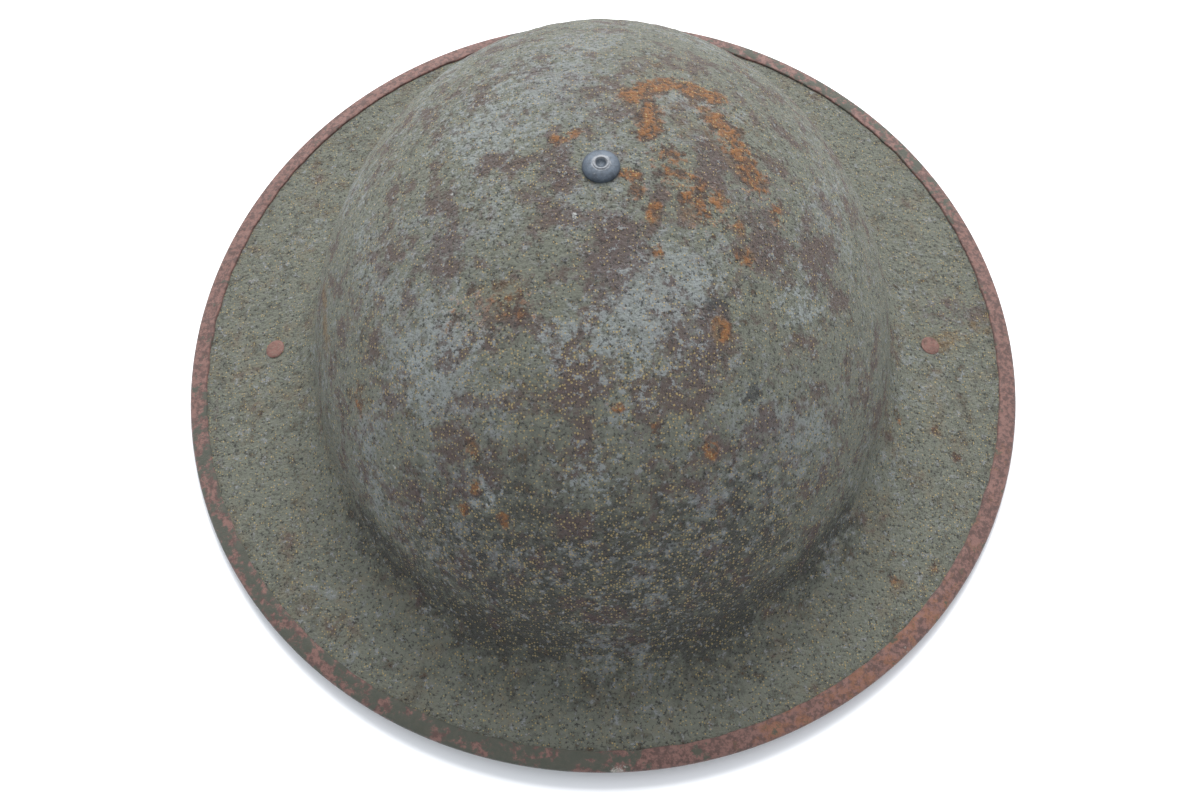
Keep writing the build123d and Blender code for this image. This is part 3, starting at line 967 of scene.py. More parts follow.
@dataclass(frozen=True)
class OldRubber(Finish):
    """Moulded rubber gone hard: dull, nearly black, crazed, with a brown-grey bloom."""

    name: str = "old_rubber"
    colour: str = "#262321"
    marks: Marks = (("cloud", 5.0),)
    cell_mm: float = 1.6
    cell_line: Pair = (0.0, 0.08)
    coats: Coats = (Coat("bloom", "#4f463d", "cloud", 0.45, 0.7, 0.8),)
    roughness: Amount = 0.78
    relief: Relief = ("cells", 0.12)
    specular: float = 0.4


@dataclass(frozen=True)
class Oilcloth(Finish):
    """Cotton cloth glazed with black oil paint: a low shine, fine creases and brown cracks."""

    name: str = "glazed_oilcloth"
    colour: str = "#25201c"
    marks: Marks = (("wear", 8.0), ("cloth", 0.9))
    cell_mm: float = 3.2
    cell_line: Pair = (0.05, 0.0)
    blends: Blends = (
        ("cracked", ("cells", 0.25), ("wear", 1.0)),
        ("creased", ("cells", -0.8), ("cloth", 1.0)),
    )
    coats: Coats = (Coat("brown cracks", "#5e4d3b", "cracked", 0.6, 0.75, 0.85),)
    roughness: Amount = Spread("wear", 0.35, 0.65, 0.34, 0.7)
    relief: Relief = ("creased", 0.15)


@dataclass(frozen=True)
class Twine(Finish):
    """Twisted hemp twine, tarry brown in the hollows and pale where it rubs."""

    name: str = "hemp_twine"
    colour: str = "#8d7850"
    marks: Marks = (("fibres", 0.8),)
    blends: Blends = (
        ("hollow", ("twist", -0.4), ("fibres", 1.0)),
        ("strands", ("fibres", 0.5), ("twist", 1.0)),
    )
    coats: Coats = (Coat("tar", "#4b3d27", "hollow", 0.2, 0.6, 0.85),)
    roughness: Amount = 0.9
    relief: Relief = ("strands", 0.25)
    sheen: float = 0.2
    twist_mm: float = 1.4
    twist_wander: float = 1.5
    slant: Place = (0.6, 0.5, 0.8)

    def patterns(self, tree: Tree, place: Socket) -> dict[str, Socket]:
        """Adds slanting bands for the twist.

        Args:
            tree: the material's node tree.
            place: the coordinates that the patterns are read at.

        Returns:
            Each pattern by its name.
        """
        made = super().patterns(tree, place)
        lying = add(tree, Node.STRETCH, {0: place, "Rotation": self.slant})
        scale = per_mm(self.twist_mm) * BAND_SCALE
        bands = {"Vector": lying, "Scale": scale, "Distortion": self.twist_wander}
        made["twist"] = add(tree, Node.WAVES, bands, "Fac")
        return made


@dataclass(frozen=True)
class StrapLeather(Finish):
    """Vegetable-tanned cowhide, browned and dry, with a fine pebble grain."""

    name: str = "tanned_leather"
    colour: str = "#6b452b"
    marks: Marks = (("mottle", 9.0), ("scuffs", 2.0))
    cell_mm: float = 0.8
    cell_line: Pair = (0.0, 0.25)
    blends: Blends = (("hide", ("scuffs", 0.8), ("cells", 1.0)),)
    coats: Coats = (
        Coat("dark hide", "#38231a", "mottle", 0.42, 0.66, 0.8),
        Coat("dry places", "#8a6847", "scuffs", 0.54, 0.72, 0.6),
    )
    roughness: Amount = Spread("mottle", 0.35, 0.65, 0.45, 0.7)
    relief: Relief = ("hide", 0.14)


@dataclass(frozen=True)
class LinenThread(Finish):
    """Waxed linen sewing thread, off-white and a little furred."""

    name: str = "linen_thread"
    colour: str = "#b3a688"
    marks: Marks = (("fur", 1.2),)
    coats: Coats = (Coat("grime", "#6f6450", "fur", 0.45, 0.65, 0.8),)
    relief: Relief = ("fur", 0.08)


@dataclass(frozen=True)
class WhiteTable(Finish):
    """Matt white laminate, seen only as an even white ground."""

    name: str = "white_table"
    colour: str = "#f7f8f9"
    specular: float = 0.2


def dress(piece: Piece, finish: Material, body: str, slot: str, *nodes: str) -> None:
    """Gives a finished piece its material, its body and the CAD nodes that it stands for.

    Args:
        piece: the piece.
        finish: its material.
        body: the CAD body that carries it.
        slot: a material slot's name; not used.
        nodes: the CAD nodes that it replaces.
    """
    piece.data.materials.clear()
    piece.data.materials.append(finish)
    if nodes:
        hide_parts(*nodes)
    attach(piece, body)
    log.info("%s on %s, %d faces", piece.name, body, len(piece.data.polygons))


# Stage


@dataclass(frozen=True)
class Studio:
    """White table, soft light from above and behind, and the camera of the photograph."""

    distance: float = 535.12 * MM
    elevation: float = math.radians(62.14)
    azimuth: float = math.radians(0.44)
    roll: float = math.radians(-0.67)
    target: Place = (-0.82 * MM, -36.07 * MM, 40.0 * MM)
    lens: float = 50.01
    sensor: float = 36.0
    sky: str = "#f2f6fc"
    sky_strength: float = 1.05
    window_place: Place = (0.05, 0.85, 1.05)
    window_size: float = 0.9
    window_power: float = 32.0
    window_aim: Place = (0.0, 0.0, 0.05)
    table_size: float = 12.0
    table_gap: float = 0.3 * MM

    def build(self) -> None:
        """Adds the camera, the table and the lights."""
        bpy.context.scene.view_settings.view_transform = "Standard"
        self.add_camera()
        self.add_table()
        self.add_lights()

    def add_camera(self) -> None:
        """Places the camera by its bearing from the target."""
        turn, lift, roll = self.azimuth, self.elevation, self.roll
        back = Vector((math.sin(turn) * math.cos(lift), -math.cos(turn) * math.cos(lift), math.sin(lift)))
        right = Vector((math.cos(turn), math.sin(turn), 0))
        up = back.cross(right)
        tilted_right = right * math.cos(roll) + up * math.sin(roll)
        tilted_up = up * math.cos(roll) - right * math.sin(roll)
        place = Matrix((tilted_right, tilted_up, back)).transposed().to_4x4()
        place.translation = Vector(self.target) + back * self.distance
        deselect_all()
        bpy.ops.object.camera_add()
        camera = bpy.context.object
        camera.name = "camera"
        camera.matrix_world = place
        camera.data.lens = self.lens
        camera.data.sensor_width = self.sensor
        bpy.context.scene.camera = camera

    def add_table(self) -> None:
        """A large white surface just under the rim."""
        deselect_all()
        bpy.ops.mesh.primitive_plane_add(size=self.table_size, location=(0, 0, -self.table_gap))
        table = name_new("table")
        table.data.materials.append(WhiteTable().build())

    def add_lights(self) -> None:
        """A bright even sky and a broad window light from above and behind."""
        world = bpy.data.worlds.new("sky")
        bpy.context.scene.world = world
        world.use_nodes = True
        background = world.node_tree.nodes["Background"]
        background.inputs["Color"].default_value = linear(self.sky)
        background.inputs["Strength"].default_value = self.sky_strength
        bpy.ops.object.light_add(type="AREA", location=self.window_place)
        lamp = bpy.context.object
        lamp.name = "window"
        lamp.data.size = self.window_size
        lamp.data.energy = self.window_power
        facing = Vector(self.window_aim) - Vector(self.window_place)
        lamp.rotation_euler = facing.to_track_quat("-Z", "Y").to_euler()


# The helmet's form, in metres, with the sizes of the CAD source


@dataclass(frozen=True)
class Skin:
    """Outline of the pressed steel in one upright plane through the Z axis."""

    half_width: float = 144.0 * MM
    half_length: float = 147.75 * MM
    height: float = 116.5 * MM
    rim_rise: float = 4.4 * MM
    wall: float = 0.9 * MM
    bowl_half_width: float = 97.5 * MM
    bowl_half_length: float = 113.5 * MM
    widest_height: float = 13.5 * MM
    side_flare: float = 15.5 * MM
    front_flare: float = 15.0 * MM
    side_slope: float = math.radians(17.0)
    front_slope: float = math.radians(13.0)
    bead: float = 1.36 * MM
    crown_hole: float = 2.2 * MM

    @staticmethod
    def swing(theta: float, side: float, front: float) -> float:
        """A value that goes smoothly from its size at the sides to its size at front and back."""
        return (side + front) / 2 + (side - front) / 2 * math.cos(2 * theta)

    @staticmethod
    def oval(theta: float, side: float, front: float) -> float:
        """Radius of an ellipse in the direction theta."""
        return side * front / math.hypot(front * math.cos(theta), side * math.sin(theta))

    def slope(self, theta: float) -> float:
        """How steeply the brim falls outwards."""
        return self.swing(theta, self.side_slope, self.front_slope)

    def brim_point(self, theta: float, along: float, inset: float) -> Pair:
        """A point of the brim at a distance in from the edging's bead.

        Args:
            theta: direction, in radians from +X.
            along: distance in from the bead, along the slope.
            inset: depth under the outer skin.

        Returns:
            Radius and height.
        """
        slope = self.slope(theta)
        radius = self.oval(theta, self.half_width - self.bead, self.half_length - self.bead)
        height = self.bead + self.swing(theta, 0, self.rim_rise)
        lift = self.wall / 2 - inset
        return (
            radius - along * math.cos(slope) + lift * math.sin(slope),
            height + along * math.sin(slope) + lift * math.cos(slope),
        )

    def dome_axes(self, theta: float, inset: float) -> Pair:
        """Half axes of the dome's ellipse."""
        across = self.oval(theta, self.bowl_half_width, self.bowl_half_length)
        return across - inset, self.height - inset - self.widest_height

    def dome_point(self, theta: float, angle: float, inset: float) -> Pair:
        """A point of the dome, at an angle of its ellipse."""
        across, up = self.dome_axes(theta, inset)
        return across * math.cos(angle), self.widest_height + up * math.sin(angle)

    def dome_radius(self, theta: float, height: float, inset: float) -> float:
        """Radius of the dome at a height."""
        across, up = self.dome_axes(theta, inset)
        return across * math.sqrt(1 - ((height - self.widest_height) / up) ** 2)

    def dome_height(self, theta: float, radius: float, inset: float) -> float:
        """Height of the dome at a radius."""
        across, up = self.dome_axes(theta, inset)
        return self.widest_height + up * math.sqrt(max(0.0, 1 - (radius / across) ** 2))

    def flare(self, theta: float, inset: float) -> tuple[float, float, float, float, float]:
        """The arc between dome and brim.

        Args:
            theta: direction, in radians from +X.
            inset: depth under the outer skin.

        Returns:
            The dome's angle where it leaves, the arc's middle as radius and height, its own radius,
            and the direction of the dome's normal there.
        """
        slope = self.slope(theta)
        reach = self.swing(theta, self.side_flare, self.front_flare) + inset
        rim_radius, rim_height = self.brim_point(theta, 0, inset)
        across, up = self.dome_axes(theta, inset)
        # The arc leaves the dome where it just meets the brim's line, found by halving a range of angles
        low, high = math.radians(-45), math.radians(60)
        for _ in range(40):
            angle = (low + high) / 2
            normal = math.atan2(math.sin(angle) / up, math.cos(angle) / across)
            radius, height = self.dome_point(theta, angle, inset)
            radius += reach * math.cos(normal)
            height += reach * math.sin(normal)
            above = (radius - rim_radius) * math.sin(slope) + (height - rim_height) * math.cos(slope)
            low, high = (low, angle) if above > reach else (angle, high)
        return angle, radius, height, reach, normal

    def line(self, theta: float, inset: float, steps: tuple[int, int, int]) -> Outline:
        """Points from the crown hole down the dome, round the flare and out to the rim.

        Args:
            theta: direction, in radians from +X.
            inset: depth under the outer skin.
            steps: how many steps the dome, the flare and the brim take.

        Returns:
            Radius and height of each point.
        """
        foot, middle_radius, middle_height, reach, normal = self.flare(theta, inset)
        top = math.acos(self.crown_hole / self.dome_axes(theta, inset)[0])
        dome, flare, brim = steps
        points = [self.dome_point(theta, angle, inset) for angle in spaced(top, foot, dome)[:-1]]
        start, end = math.degrees(math.pi + normal), math.degrees(1.5 * math.pi - self.slope(theta))
        bend = arc((middle_radius, middle_height), reach, start, end, flare)
        rim = self.brim_point(theta, 0, inset)
        return points + bend[:-1] + [between(bend[-1], rim, share) for share in spaced(0.0, 1.0, brim)]

    def side_layer(self, theta: float, low: float, high: float, inset: float, thick: float) -> Outline:
        """Outline of a layer against the dome's side, with rounded edges.

        Args:
            theta: direction, in radians from +X.
            low: the layer's lower edge.
            high: its upper edge.
            inset: its outer face's depth under the outer skin.
            thick: its thickness.

        Returns:
            The closed outline's corners.
        """
        half = thick / 2
        heights = spaced(low + half, high - half, 8)
        corners = [(inset, height) for height in heights]
        corners += arc((inset + half, high - half), half, 135, 45, 2)
        corners += [(inset + thick, height) for height in heights[::-1]]
        corners += arc((inset + half, low + half), half, -45, -135, 2)
        return [(self.dome_radius(theta, height, depth), height) for depth, height in corners]

    def crown_layer(self, theta: float, reach: float, inset: float, thick: float) -> Outline:
        """Outline of a layer under the crown, from the rivet's hole out to a rounded edge.

        Args:
            theta: direction, in radians from +X.
            reach: the layer's radius.
            inset: its outer face's depth under the outer skin.
            thick: its thickness.

        Returns:
            The closed outline's corners.
        """
        half = thick / 2
        radii = spaced(self.crown_hole, reach - half, 10)
        corners = [(inset, radius) for radius in radii]
        corners += arc((inset + half, reach - half), half, 135, 45, 2)
        corners += [(inset + thick, radius) for radius in radii[::-1]]
        return [(radius, self.dome_height(theta, radius, depth)) for depth, radius in corners]


SKIN = Skin()


# Pressed shell and edging


@dataclass(frozen=True)
class Patch:
    """A stroke from one place to another, with its half width, all in millimetres. Wear, painted shade and
    painted glint are all laid as strokes.

    It has its full strength within half that width, and has faded out at twice it.
    """

    start: Place
    end: Place
    width: float
    strength: float

    def cover(self, points: np.ndarray) -> np.ndarray:
        """How much of the patch is at each point, from 0 to its strength.

        Args:
            points: the mesh's points, one row each.

        Returns:
            The share at each point.
        """
        first = np.array(self.start) * MM
        run = np.array(self.end) * MM - first
        share = np.clip((points - first) @ run / (run @ run), 0, 1)
        away = np.linalg.norm(points - first - share[:, None] * run, axis=1) / (self.width * MM)
        return self.strength * np.clip((2 - away) / 1.5, 0, 1)


# Strokes of each kind of mark: start x, y, z, end x, y, z and half width in millimetres, then strength.
# The wear strokes are laid where the helmet is worn. On the shell, the dark strokes are painted shade
# and the sand strokes are partly painted glint.
StrokeTable = dict[str, tuple[tuple[float, ...], ...]]


def paint_strokes(piece: Piece, wear: StrokeTable) -> None:
    """Paints each kind of stroke on a mesh's points, for its shader: wear, and on the shell also painted
    shade and painted glint.

    Args:
        piece: the mesh object.
        wear: the strokes of each kind, wear, painted shade and painted glint alike.
    """
    points = points_of(piece)
    for kind, rows in wear.items():
        covers = [Patch(row[:3], row[3:6], *row[6:]).cover(points) for row in rows]
        paint_share(piece, kind, np.max(covers, axis=0))


SHELL_STROKES: StrokeTable = {
    "rust": (
        (9, 29, 112, 21, 37, 108, 3.6, 1),
        (24, 36, 107, 35, 35, 104, 3.6, 1),
        (15, 24, 112, 14, 14, 115, 3.4, 1),
        (35, 24, 107, 39, 16, 106, 4.0, 1),
        (41, 14, 106, 46, 3, 104, 4.6, 0.9),
        (20, 4, 115, 30, -12, 112, 6.0, 0.7),
        (-42, -40, 100, -25, -40, 105, 5.0, 0.6),
        (7, -2, 116, 10, -3, 116, 1.9, 1),
        (10, -7, 115, 10, -8, 115, 2.2, 1),
        (15, -13, 114, 14, -16, 114, 2.2, 1),
        (34, -7, 110, 35, -8, 110, 2.8, 0.9),
        (40, -14, 106, 41, -15, 106, 2.5, 0.8),
        (30, 27, 108, 31, 27, 108, 1.7, 1),
        (52, -5, 100, 52, -7, 100, 2.8, 0.7),
        (41, -23, 104, 42, -24, 104, 2.7, 0.8),
        (-14, 11, 115, -7, 13, 115, 2.0, 0.8),
        (16, -26, 112, 16, -27, 112, 1.9, 0.9),
        (34, -45, 100, 35, -46, 100, 2.6, 1),
        (4, -68, 96, 5, -68, 96, 1.8, 1),
        (-38, -73, 81, -37, -74, 80, 2.2, 0.7),
        (-41, -85, 66, -41, -86, 65, 2.0, 1),
        (-37, -81, 73, -37, -82, 72, 1.9, 1),
        (-29, -89, 68, -28, -90, 66, 1.9, 1),
        (31, -74, 84, 31, -76, 82, 2.2, 0.8),
        (15, -71, 92, 15, -72, 91, 1.8, 0.7),
        (-74, -48, 63, -73, -49, 63, 3.2, 0.7),
        (100, -31, 14, 100, -32, 14, 1.6, 0.8),
        (113, -32, 10, 113, -33, 10, 1.6, 0.8),
        (119, -41, 8, 119, -42, 8, 1.5, 0.7),
        (94, -86, 8, 94, -87, 8, 1.8, 0.7),
        (108, -80, 6, 108, -81, 6, 1.5, 0.8),
    ),
    "bare": (
        (-13, 7, 115, -13, -2, 115, 4.6, 1),
        (4, -24, 114, 2, -32, 112, 7.4, 1),
        (26, -47, 103, 23, -58, 98, 6.8, 1),
        (-8, -62, 99, -8, -63, 98, 6.4, 1),
        (-1, -35, 111, -1, -36, 111, 4.6, 1),
        (-36, -41, 101, -36, -43, 100, 5.2, 0.8),
        (-7, -73, 91, -7, -77, 88, 2.6, 0.9),
        (47, -68, 79, 47, -69, 78, 5.2, 0.9),
        (32, -70, 87, 31, -75, 83, 3.0, 0.9),
        (16, -8, 115, 16, -9, 115, 2.8, 1),
        (32, 13, 110, 32, 0, 111, 4.0, 1),
        (45, 10, 105, 50, -20, 101, 7.0, 0.7),
        (66, -15, 88, 66, -16, 88, 9.0, 0.8),
        (-47, -19, 102, -47, -21, 102, 8.0, 0.7),
        (117, 15, 9, 134, 16, 3, 4.9, 0.8),
        (-134, -11, 4, -131, -40, 4, 0.9, 1),
        (-23, -44, 105, -23, -45, 105, 4.8, 0.7),
        (11, -71, 93, 11, -72, 92, 4.8, 0.7),
        (-12, 32, 111, -12, 34, 110, 8.0, 0.7),
        (-113.5, 0, 10, -113.4, 0, 10, 2.6, 0.7),
        (113.5, 0, 10, 113.4, 0, 10, 2.6, 0.7),
    ),
    "chalk": (
        (9, -50, 105, 14, -43, 107, 12.0, 1),
        (26, -35, 107, 26, -36, 107, 6.0, 1),
        (1, -52, 105, 1, -53, 105, 6.0, 1),
        (6, -69, 95, 6, -70, 95, 2.4, 1),
        (-35, -85, 70, -34, -83, 73, 3.2, 1),
        (-52, -52, 87, -52, -53, 87, 8.0, 1),
        (-42, -43, 97, -42, -44, 97, 8.0, 1),
        (-4, -82, 84, -4, -83, 84, 7.0, 0.8),
        (59, -30, 91, 59, -31, 91, 7.0, 0.8),
        (-12, -52, 104, -12, -53, 104, 5.6, 1),
        (-35, 20, 108, -20, 40, 106, 14.0, 0.5),
    ),
    "stain": (
        (33, -40, 103, 34, -41, 102, 4.2, 1),
        (45, -81, 68, 46, -82, 66, 8.0, 0.8),
        (43, -58, 89, 43, -59, 89, 4.0, 1),
        (-36, -92, 59, -34, -103, 37, 4.5, 0.7),
    ),
    # Painted shade: darkens the lower front of the bowl and the front of the flare, turned away from the
    # window light.
    "dark": (
        (-30, -102, 50, 30, -102, 50, 26.0, 1),
        (-40, -107, 24, 40, -107, 24, 9.5, 1.3),
        (-80, -72, 24, -40, -107, 24, 7.0, 1),
        (80, -72, 24, 40, -107, 24, 7.0, 1),
    ),
    "ochre": (
        (-90, -2, 53, -87, -23, 54, 2.6, 1),
        (-74, -48, 63, -73, -49, 63, 4.6, 0.7),
        (115, 1, 10, 137, 13, 3, 3.0, 0.8),
        (-34, -38, 104, -26, -37, 107, 3.2, 0.8),
        (20, 33, 108, 36, 20, 107, 13.0, 0.5),
    ),
    # Where the pale grains show, partly sand and partly painted glint: the lower front most of all.
    "sand_and_glint": (
        (-45, -95, 55, 45, -95, 55, 24.0, 1),
        (-40, -112, 25, 40, -112, 25, 12.0, 0.7),
        (-25, -62, 97, 20, -66, 95, 14.0, 0.9),
        (-70, -40, 75, -40, -70, 78, 12.0, 0.6),
    ),
    "white": (
        (-8, -16, 115.5, -8, -16.4, 115.5, 1.0, 1),
        (-45, -1, 105, -45, -1.4, 105, 1.0, 1),
        (-41, 5, 106, -41, 5.4, 106, 1.0, 1),
        (-12, -107, 46, -12, -109, 39, 0.9, 0.7),
        (-64, -67, 61, -63, -70, 59, 2.2, 0.8),
        (-35, -83, 73, -33, -86, 70, 2.2, 0.7),
    ),
}


@dataclass(frozen=True)
class PressedShell:
    """The pressed bowl and brim: a dense outer skin with the paint's lumps, and a plainer inner one."""

    columns: int = 680
    outer_steps: tuple[int, int, int] = (80, 16, 28)
    inner_steps: tuple[int, int, int] = (30, 6, 10)
    lump_size: float = 5.0 * MM
    lump_depth: float = 0.6 * MM
    # Fall-off of the lumps' noise from octave to octave, how much finer each is, and how many there are
    lump_fall: float = 0.9
    lump_gap: float = 2.0
    lump_octaves: int = 3
    sag_size: float = 45.0 * MM
    sag_depth: float = 0.5 * MM
    edge_calm: float = 7.0 * MM
    crown_calm: float = 8.0 * MM

    def build(self, paint: Material) -> None:
        """Makes the shell, paints its wear, painted shade and painted glint on as strokes, and gives it its
        paint.

        Args:
            paint: the sand paint.
        """
        outer = self.skin("shell_outer", 0.0, self.columns, self.outer_steps)
        push(outer, self.lump)
        inner = self.skin("shell_inner", SKIN.wall, self.columns // 4, self.inner_steps)
        shell = join([outer, inner], "pressed_shell")
        self.close_edges(shell)
        paint_strokes(shell, SHELL_STROKES)
        smooth(shell, 60)
        dress(shell, paint, "helmet", "painted_steel", "shell")

    def skin(self, name: str, inset: float, columns: int, steps: tuple[int, int, int]) -> Piece:
        """One skin of the sheet, open at the rim and at the crown hole.

        Args:
            name: the skin's name.
            inset: depth under the outer skin.
            columns: how many faces it has round the helmet.
            steps: how many it has down the dome, the flare and the brim.

        Returns:
            The skin's object.
        """
        lines = []
        for theta in turns(columns):
            lines.append([spot(theta, radius, height) for radius, height in SKIN.line(theta, inset, steps)])
        piece = grid(name, lines + lines[:1])
        weld(piece)
        return piece

    def lump(self, place: Vector) -> float:
        """How far the paint's lumps and the sheet's dents push a point out.

        They are calmer near the rim and the crown rivet.

        Args:
            place: the point.

        Returns:
            The distance along the skin's normal.
        """
        radius = math.hypot(place.x, place.y)
        rim = SKIN.oval(math.atan2(place.y, place.x), SKIN.half_width, SKIN.half_length) - radius
        calm = min(1.0, max(0.0, rim / self.edge_calm - 1)) * min(1.0, radius / self.crown_calm)
        shape = (self.lump_fall, self.lump_gap, self.lump_octaves)
        lump = noise.fractal(place / self.lump_size, *shape) * self.lump_depth
        sag = noise.noise(place / self.sag_size) * self.sag_depth
        return calm * (lump + sag) / 2

    def close_edges(self, piece: Piece) -> None:
        """Joins the two skins round the rim and round the crown hole.

        Args:
            piece: the two skins in one mesh.
        """
        edit(piece)
        bpy.ops.mesh.select_mode(type="EDGE")
        for at_rim in (True, False):
            bpy.ops.mesh.select_all(action="DESELECT")
            bpy.ops.mesh.select_non_manifold()
            bpy.ops.object.mode_set(mode="OBJECT")
            for edge in piece.data.edges:
                if edge.select:
                    first = piece.data.vertices[edge.vertices[0]].co
                    edge.select = (math.hypot(first.x, first.y) > SKIN.half_width / 2) == at_rim
            bpy.ops.object.mode_set(mode="EDIT")
            bpy.ops.mesh.bridge_edge_loops()
        bpy.ops.mesh.select_all(action="SELECT")
        bpy.ops.mesh.normals_make_consistent(inside=False)
        bpy.ops.object.mode_set(mode="OBJECT")


EDGING_WEAR: StrokeTable = {
    "crumbs": (
        (-138, -40, 3, -70, -130, 4, 20.0, 0.8),
        (-60, -134, 4, -10, -147, 5, 14.0, 1),
        (120, 80, 4, 60, 134, 5, 16.0, 0.6),
    ),
    "orange": (
        (60, -134, 5, 105, -100, 4, 16.0, 0.9),
        (125, -72, 3, 138, -40, 3, 12.0, 0.5),
    ),
    "scuff": (
        (4, -147, 6, 6, -147, 6, 2.2, 1),
        (96, -109, 4, 98, -107, 4, 1.8, 0.8),
    ),
}


@dataclass(frozen=True)
class FoldedEdging:
    """The strip folded over the rim, crimped a little unevenly, with its ends butted at the back."""

    columns: int = 720
    wall: float = 0.85 * MM
    fit: float = 0.06 * MM
    depth: float = 5.2 * MM
    joint_gap: float = 0.5 * MM
    nose_steps: int = 10
    wave: float = 0.5 * MM
    waves: float = 22.0
    ripple: float = 0.12 * MM
    ripples: float = 40.0
    soft: float = 0.255 * MM

    def outline(self, theta: float) -> Outline:
        """Section corners, as the distance in from the bead and the lift over the sheet's middle.

        Args:
            theta: direction, in radians from +X.

        Returns:
            The closed outline's corners.
        """
        bead = SKIN.wall / 2 + self.fit + self.wall
        slot = SKIN.wall / 2 + self.fit
        facing = Vector((math.cos(theta), math.sin(theta), 0))
        edge = self.depth + self.wave * noise.noise(facing * self.waves)
        low = bead + self.ripple * noise.noise(facing * self.ripples)
        soft = self.soft
        nose = [(-x, z) for x, z in arc((0, 0), bead, 90, -90, self.nose_steps)]
        foot = [(edge / 2, -low), (edge - soft, -low), (edge, soft - low), (edge, -slot)]
        inside = [(edge / 2, -slot), (-self.fit, -slot), (-self.fit, slot), (edge / 2, slot)]
        top = [(edge, slot), (edge, low - soft), (edge - soft, low), (edge / 2, low)]
        return nose + foot + inside + top

    def build(self, rust: Material) -> None:
        """Makes the edging, closes its two ends and wears it.

        Args:
            rust: the rusted strip's material.
        """
        gap = self.joint_gap / 2 / SKIN.half_length
        lines = []
        for theta in spaced(math.pi / 2 + gap, math.pi / 2 + TURN - gap, self.columns):
            outline = self.outline(theta)
            places = [SKIN.brim_point(theta, along, SKIN.wall / 2 - lift) for along, lift in outline]
            lines.append([spot(theta, radius, height) for radius, height in places + places[:1]])
        piece = grid("folded_edging", lines)
        weld(piece)
        edit(piece)
        bpy.ops.mesh.select_mode(type="EDGE")
        bpy.ops.mesh.select_all(action="DESELECT")
        bpy.ops.mesh.select_non_manifold()
        bpy.ops.mesh.edge_face_add()
        bpy.ops.mesh.select_all(action="SELECT")
        bpy.ops.mesh.normals_make_consistent(inside=False)
        bpy.ops.object.mode_set(mode="OBJECT")
        paint_strokes(piece, EDGING_WEAR)
        smooth(piece)
        dress(piece, rust, "helmet", "edging_steel", "rim_edging")


# Crown rivet, side fittings and bent wire


# Where the bar of each bail that holds the strap is, out from the middle and up
BAR_REACH = 92.0424 * MM
BAR_HEIGHT = 4.95 * MM


@dataclass(frozen=True)
class WireLoop:
    """A flat loop of bent wire with round corners, such as a bail or the buckle."""

    length: float
    radius: float = 1.3 * MM
    half_width: float = 9.9 * MM
    corner: float = 1.9 * MM

    def build(self, name: str, near_bar: Vector, run: Vector) -> Piece:
        """Bends the loop.

        Args:
            name: the loop's name.
            near_bar: the middle of its near bar, which lies along Y.
            run: the direction from there to its far bar.

        Returns:
            The loop.
        """
        loop = rounded_loop(self.length, self.half_width, self.corner)
        points = [near_bar + run * along + Vector((0, across, 0)) for along, across in loop]
        return wire(name, points, self.radius, closed=True)


@dataclass(frozen=True)
class CrownRivet:
    """The turned rivet through the crown, with its dimpled head outside and its washer inside."""

    head_radius: float = 5.6 * MM
    head_edge: float = 0.5 * MM
    head_height: float = 2.6 * MM
    lip_height: float = 0.3 * MM
    lip_width: float = 0.8 * MM
    dimple_radius: float = 1.7 * MM
    dimple_depth: float = 0.9 * MM
    shank_radius: float = 2.1 * MM
    tail_radius: float = 3.8 * MM
    tail_top: float = 106.35 * MM
    tail_height: float = 1.5 * MM
    washer_radius: float = 10.0 * MM
    washer_inset: float = 9.0 * MM
    washer_thick: float = 1.0 * MM
    lip_worn: float = 0.8
    rest_worn: float = 0.1

    def build(self, blued: Material, iron: Material) -> None:
        """Makes the rivet and the washer.

        Args:
            blued: the rivet's material.
            iron: the washer's material.
        """
        rivet = spun("crown_rivet_turned", self.outline(), steps=72)
        points = points_of(rivet)
        from_lip = np.hypot(points[:, 0], points[:, 1]) - self.dimple_radius - self.lip_width / 2
        lip = (np.abs(from_lip) < self.lip_width) & (points[:, 2] > SKIN.height + 0.8 * self.head_height)
        paint_share(rivet, "worn", np.where(lip, self.lip_worn, self.rest_worn))
        dress(rivet, blued, "helmet", "rivet_steel", "crown_rivet")
        washer = round_piece("crown_washer_domed", self.washer_section, columns=48)
        dress(washer, iron, "helmet", "rivet_steel", "crown_washer")

    def outline(self) -> Outline:
        """The rivet from the top of its axis to the bottom.

        Returns:
            Radius and height of each corner.
        """
        top = SKIN.height
        lip = top + self.head_height
        foot = lip - self.lip_height
        floor = foot - self.dimple_depth
        inner, outer = self.dimple_radius, self.dimple_radius + self.lip_width
        points = [(0.0, floor), (0.5 * inner, floor), (0.8 * inner, (floor + foot) / 2), (inner, foot)]
        points += [(inner + 0.25 * self.lip_width, lip), (inner + 0.7 * self.lip_width, lip), (outer, foot)]
        reach, drop = self.head_radius - outer, foot - top - self.head_edge
        for angle in spaced(0.0, math.pi / 2, 8)[1:]:
            points.append((outer + reach * math.sin(angle), top + self.head_edge + drop * math.cos(angle)))
        tail = self.tail_top - self.tail_height
        points += [(self.head_radius, top), (self.shank_radius, top), (self.shank_radius, self.tail_top)]
        points += [(self.tail_radius, self.tail_top), (self.tail_radius, tail + 0.4 * self.tail_height)]
        return points + [(0.8 * self.tail_radius, tail), (0.0, tail)]

    def washer_section(self, theta: float) -> Outline:
        """The washer's outline."""
        return SKIN.crown_layer(theta, self.washer_radius, self.washer_inset, self.washer_thick)


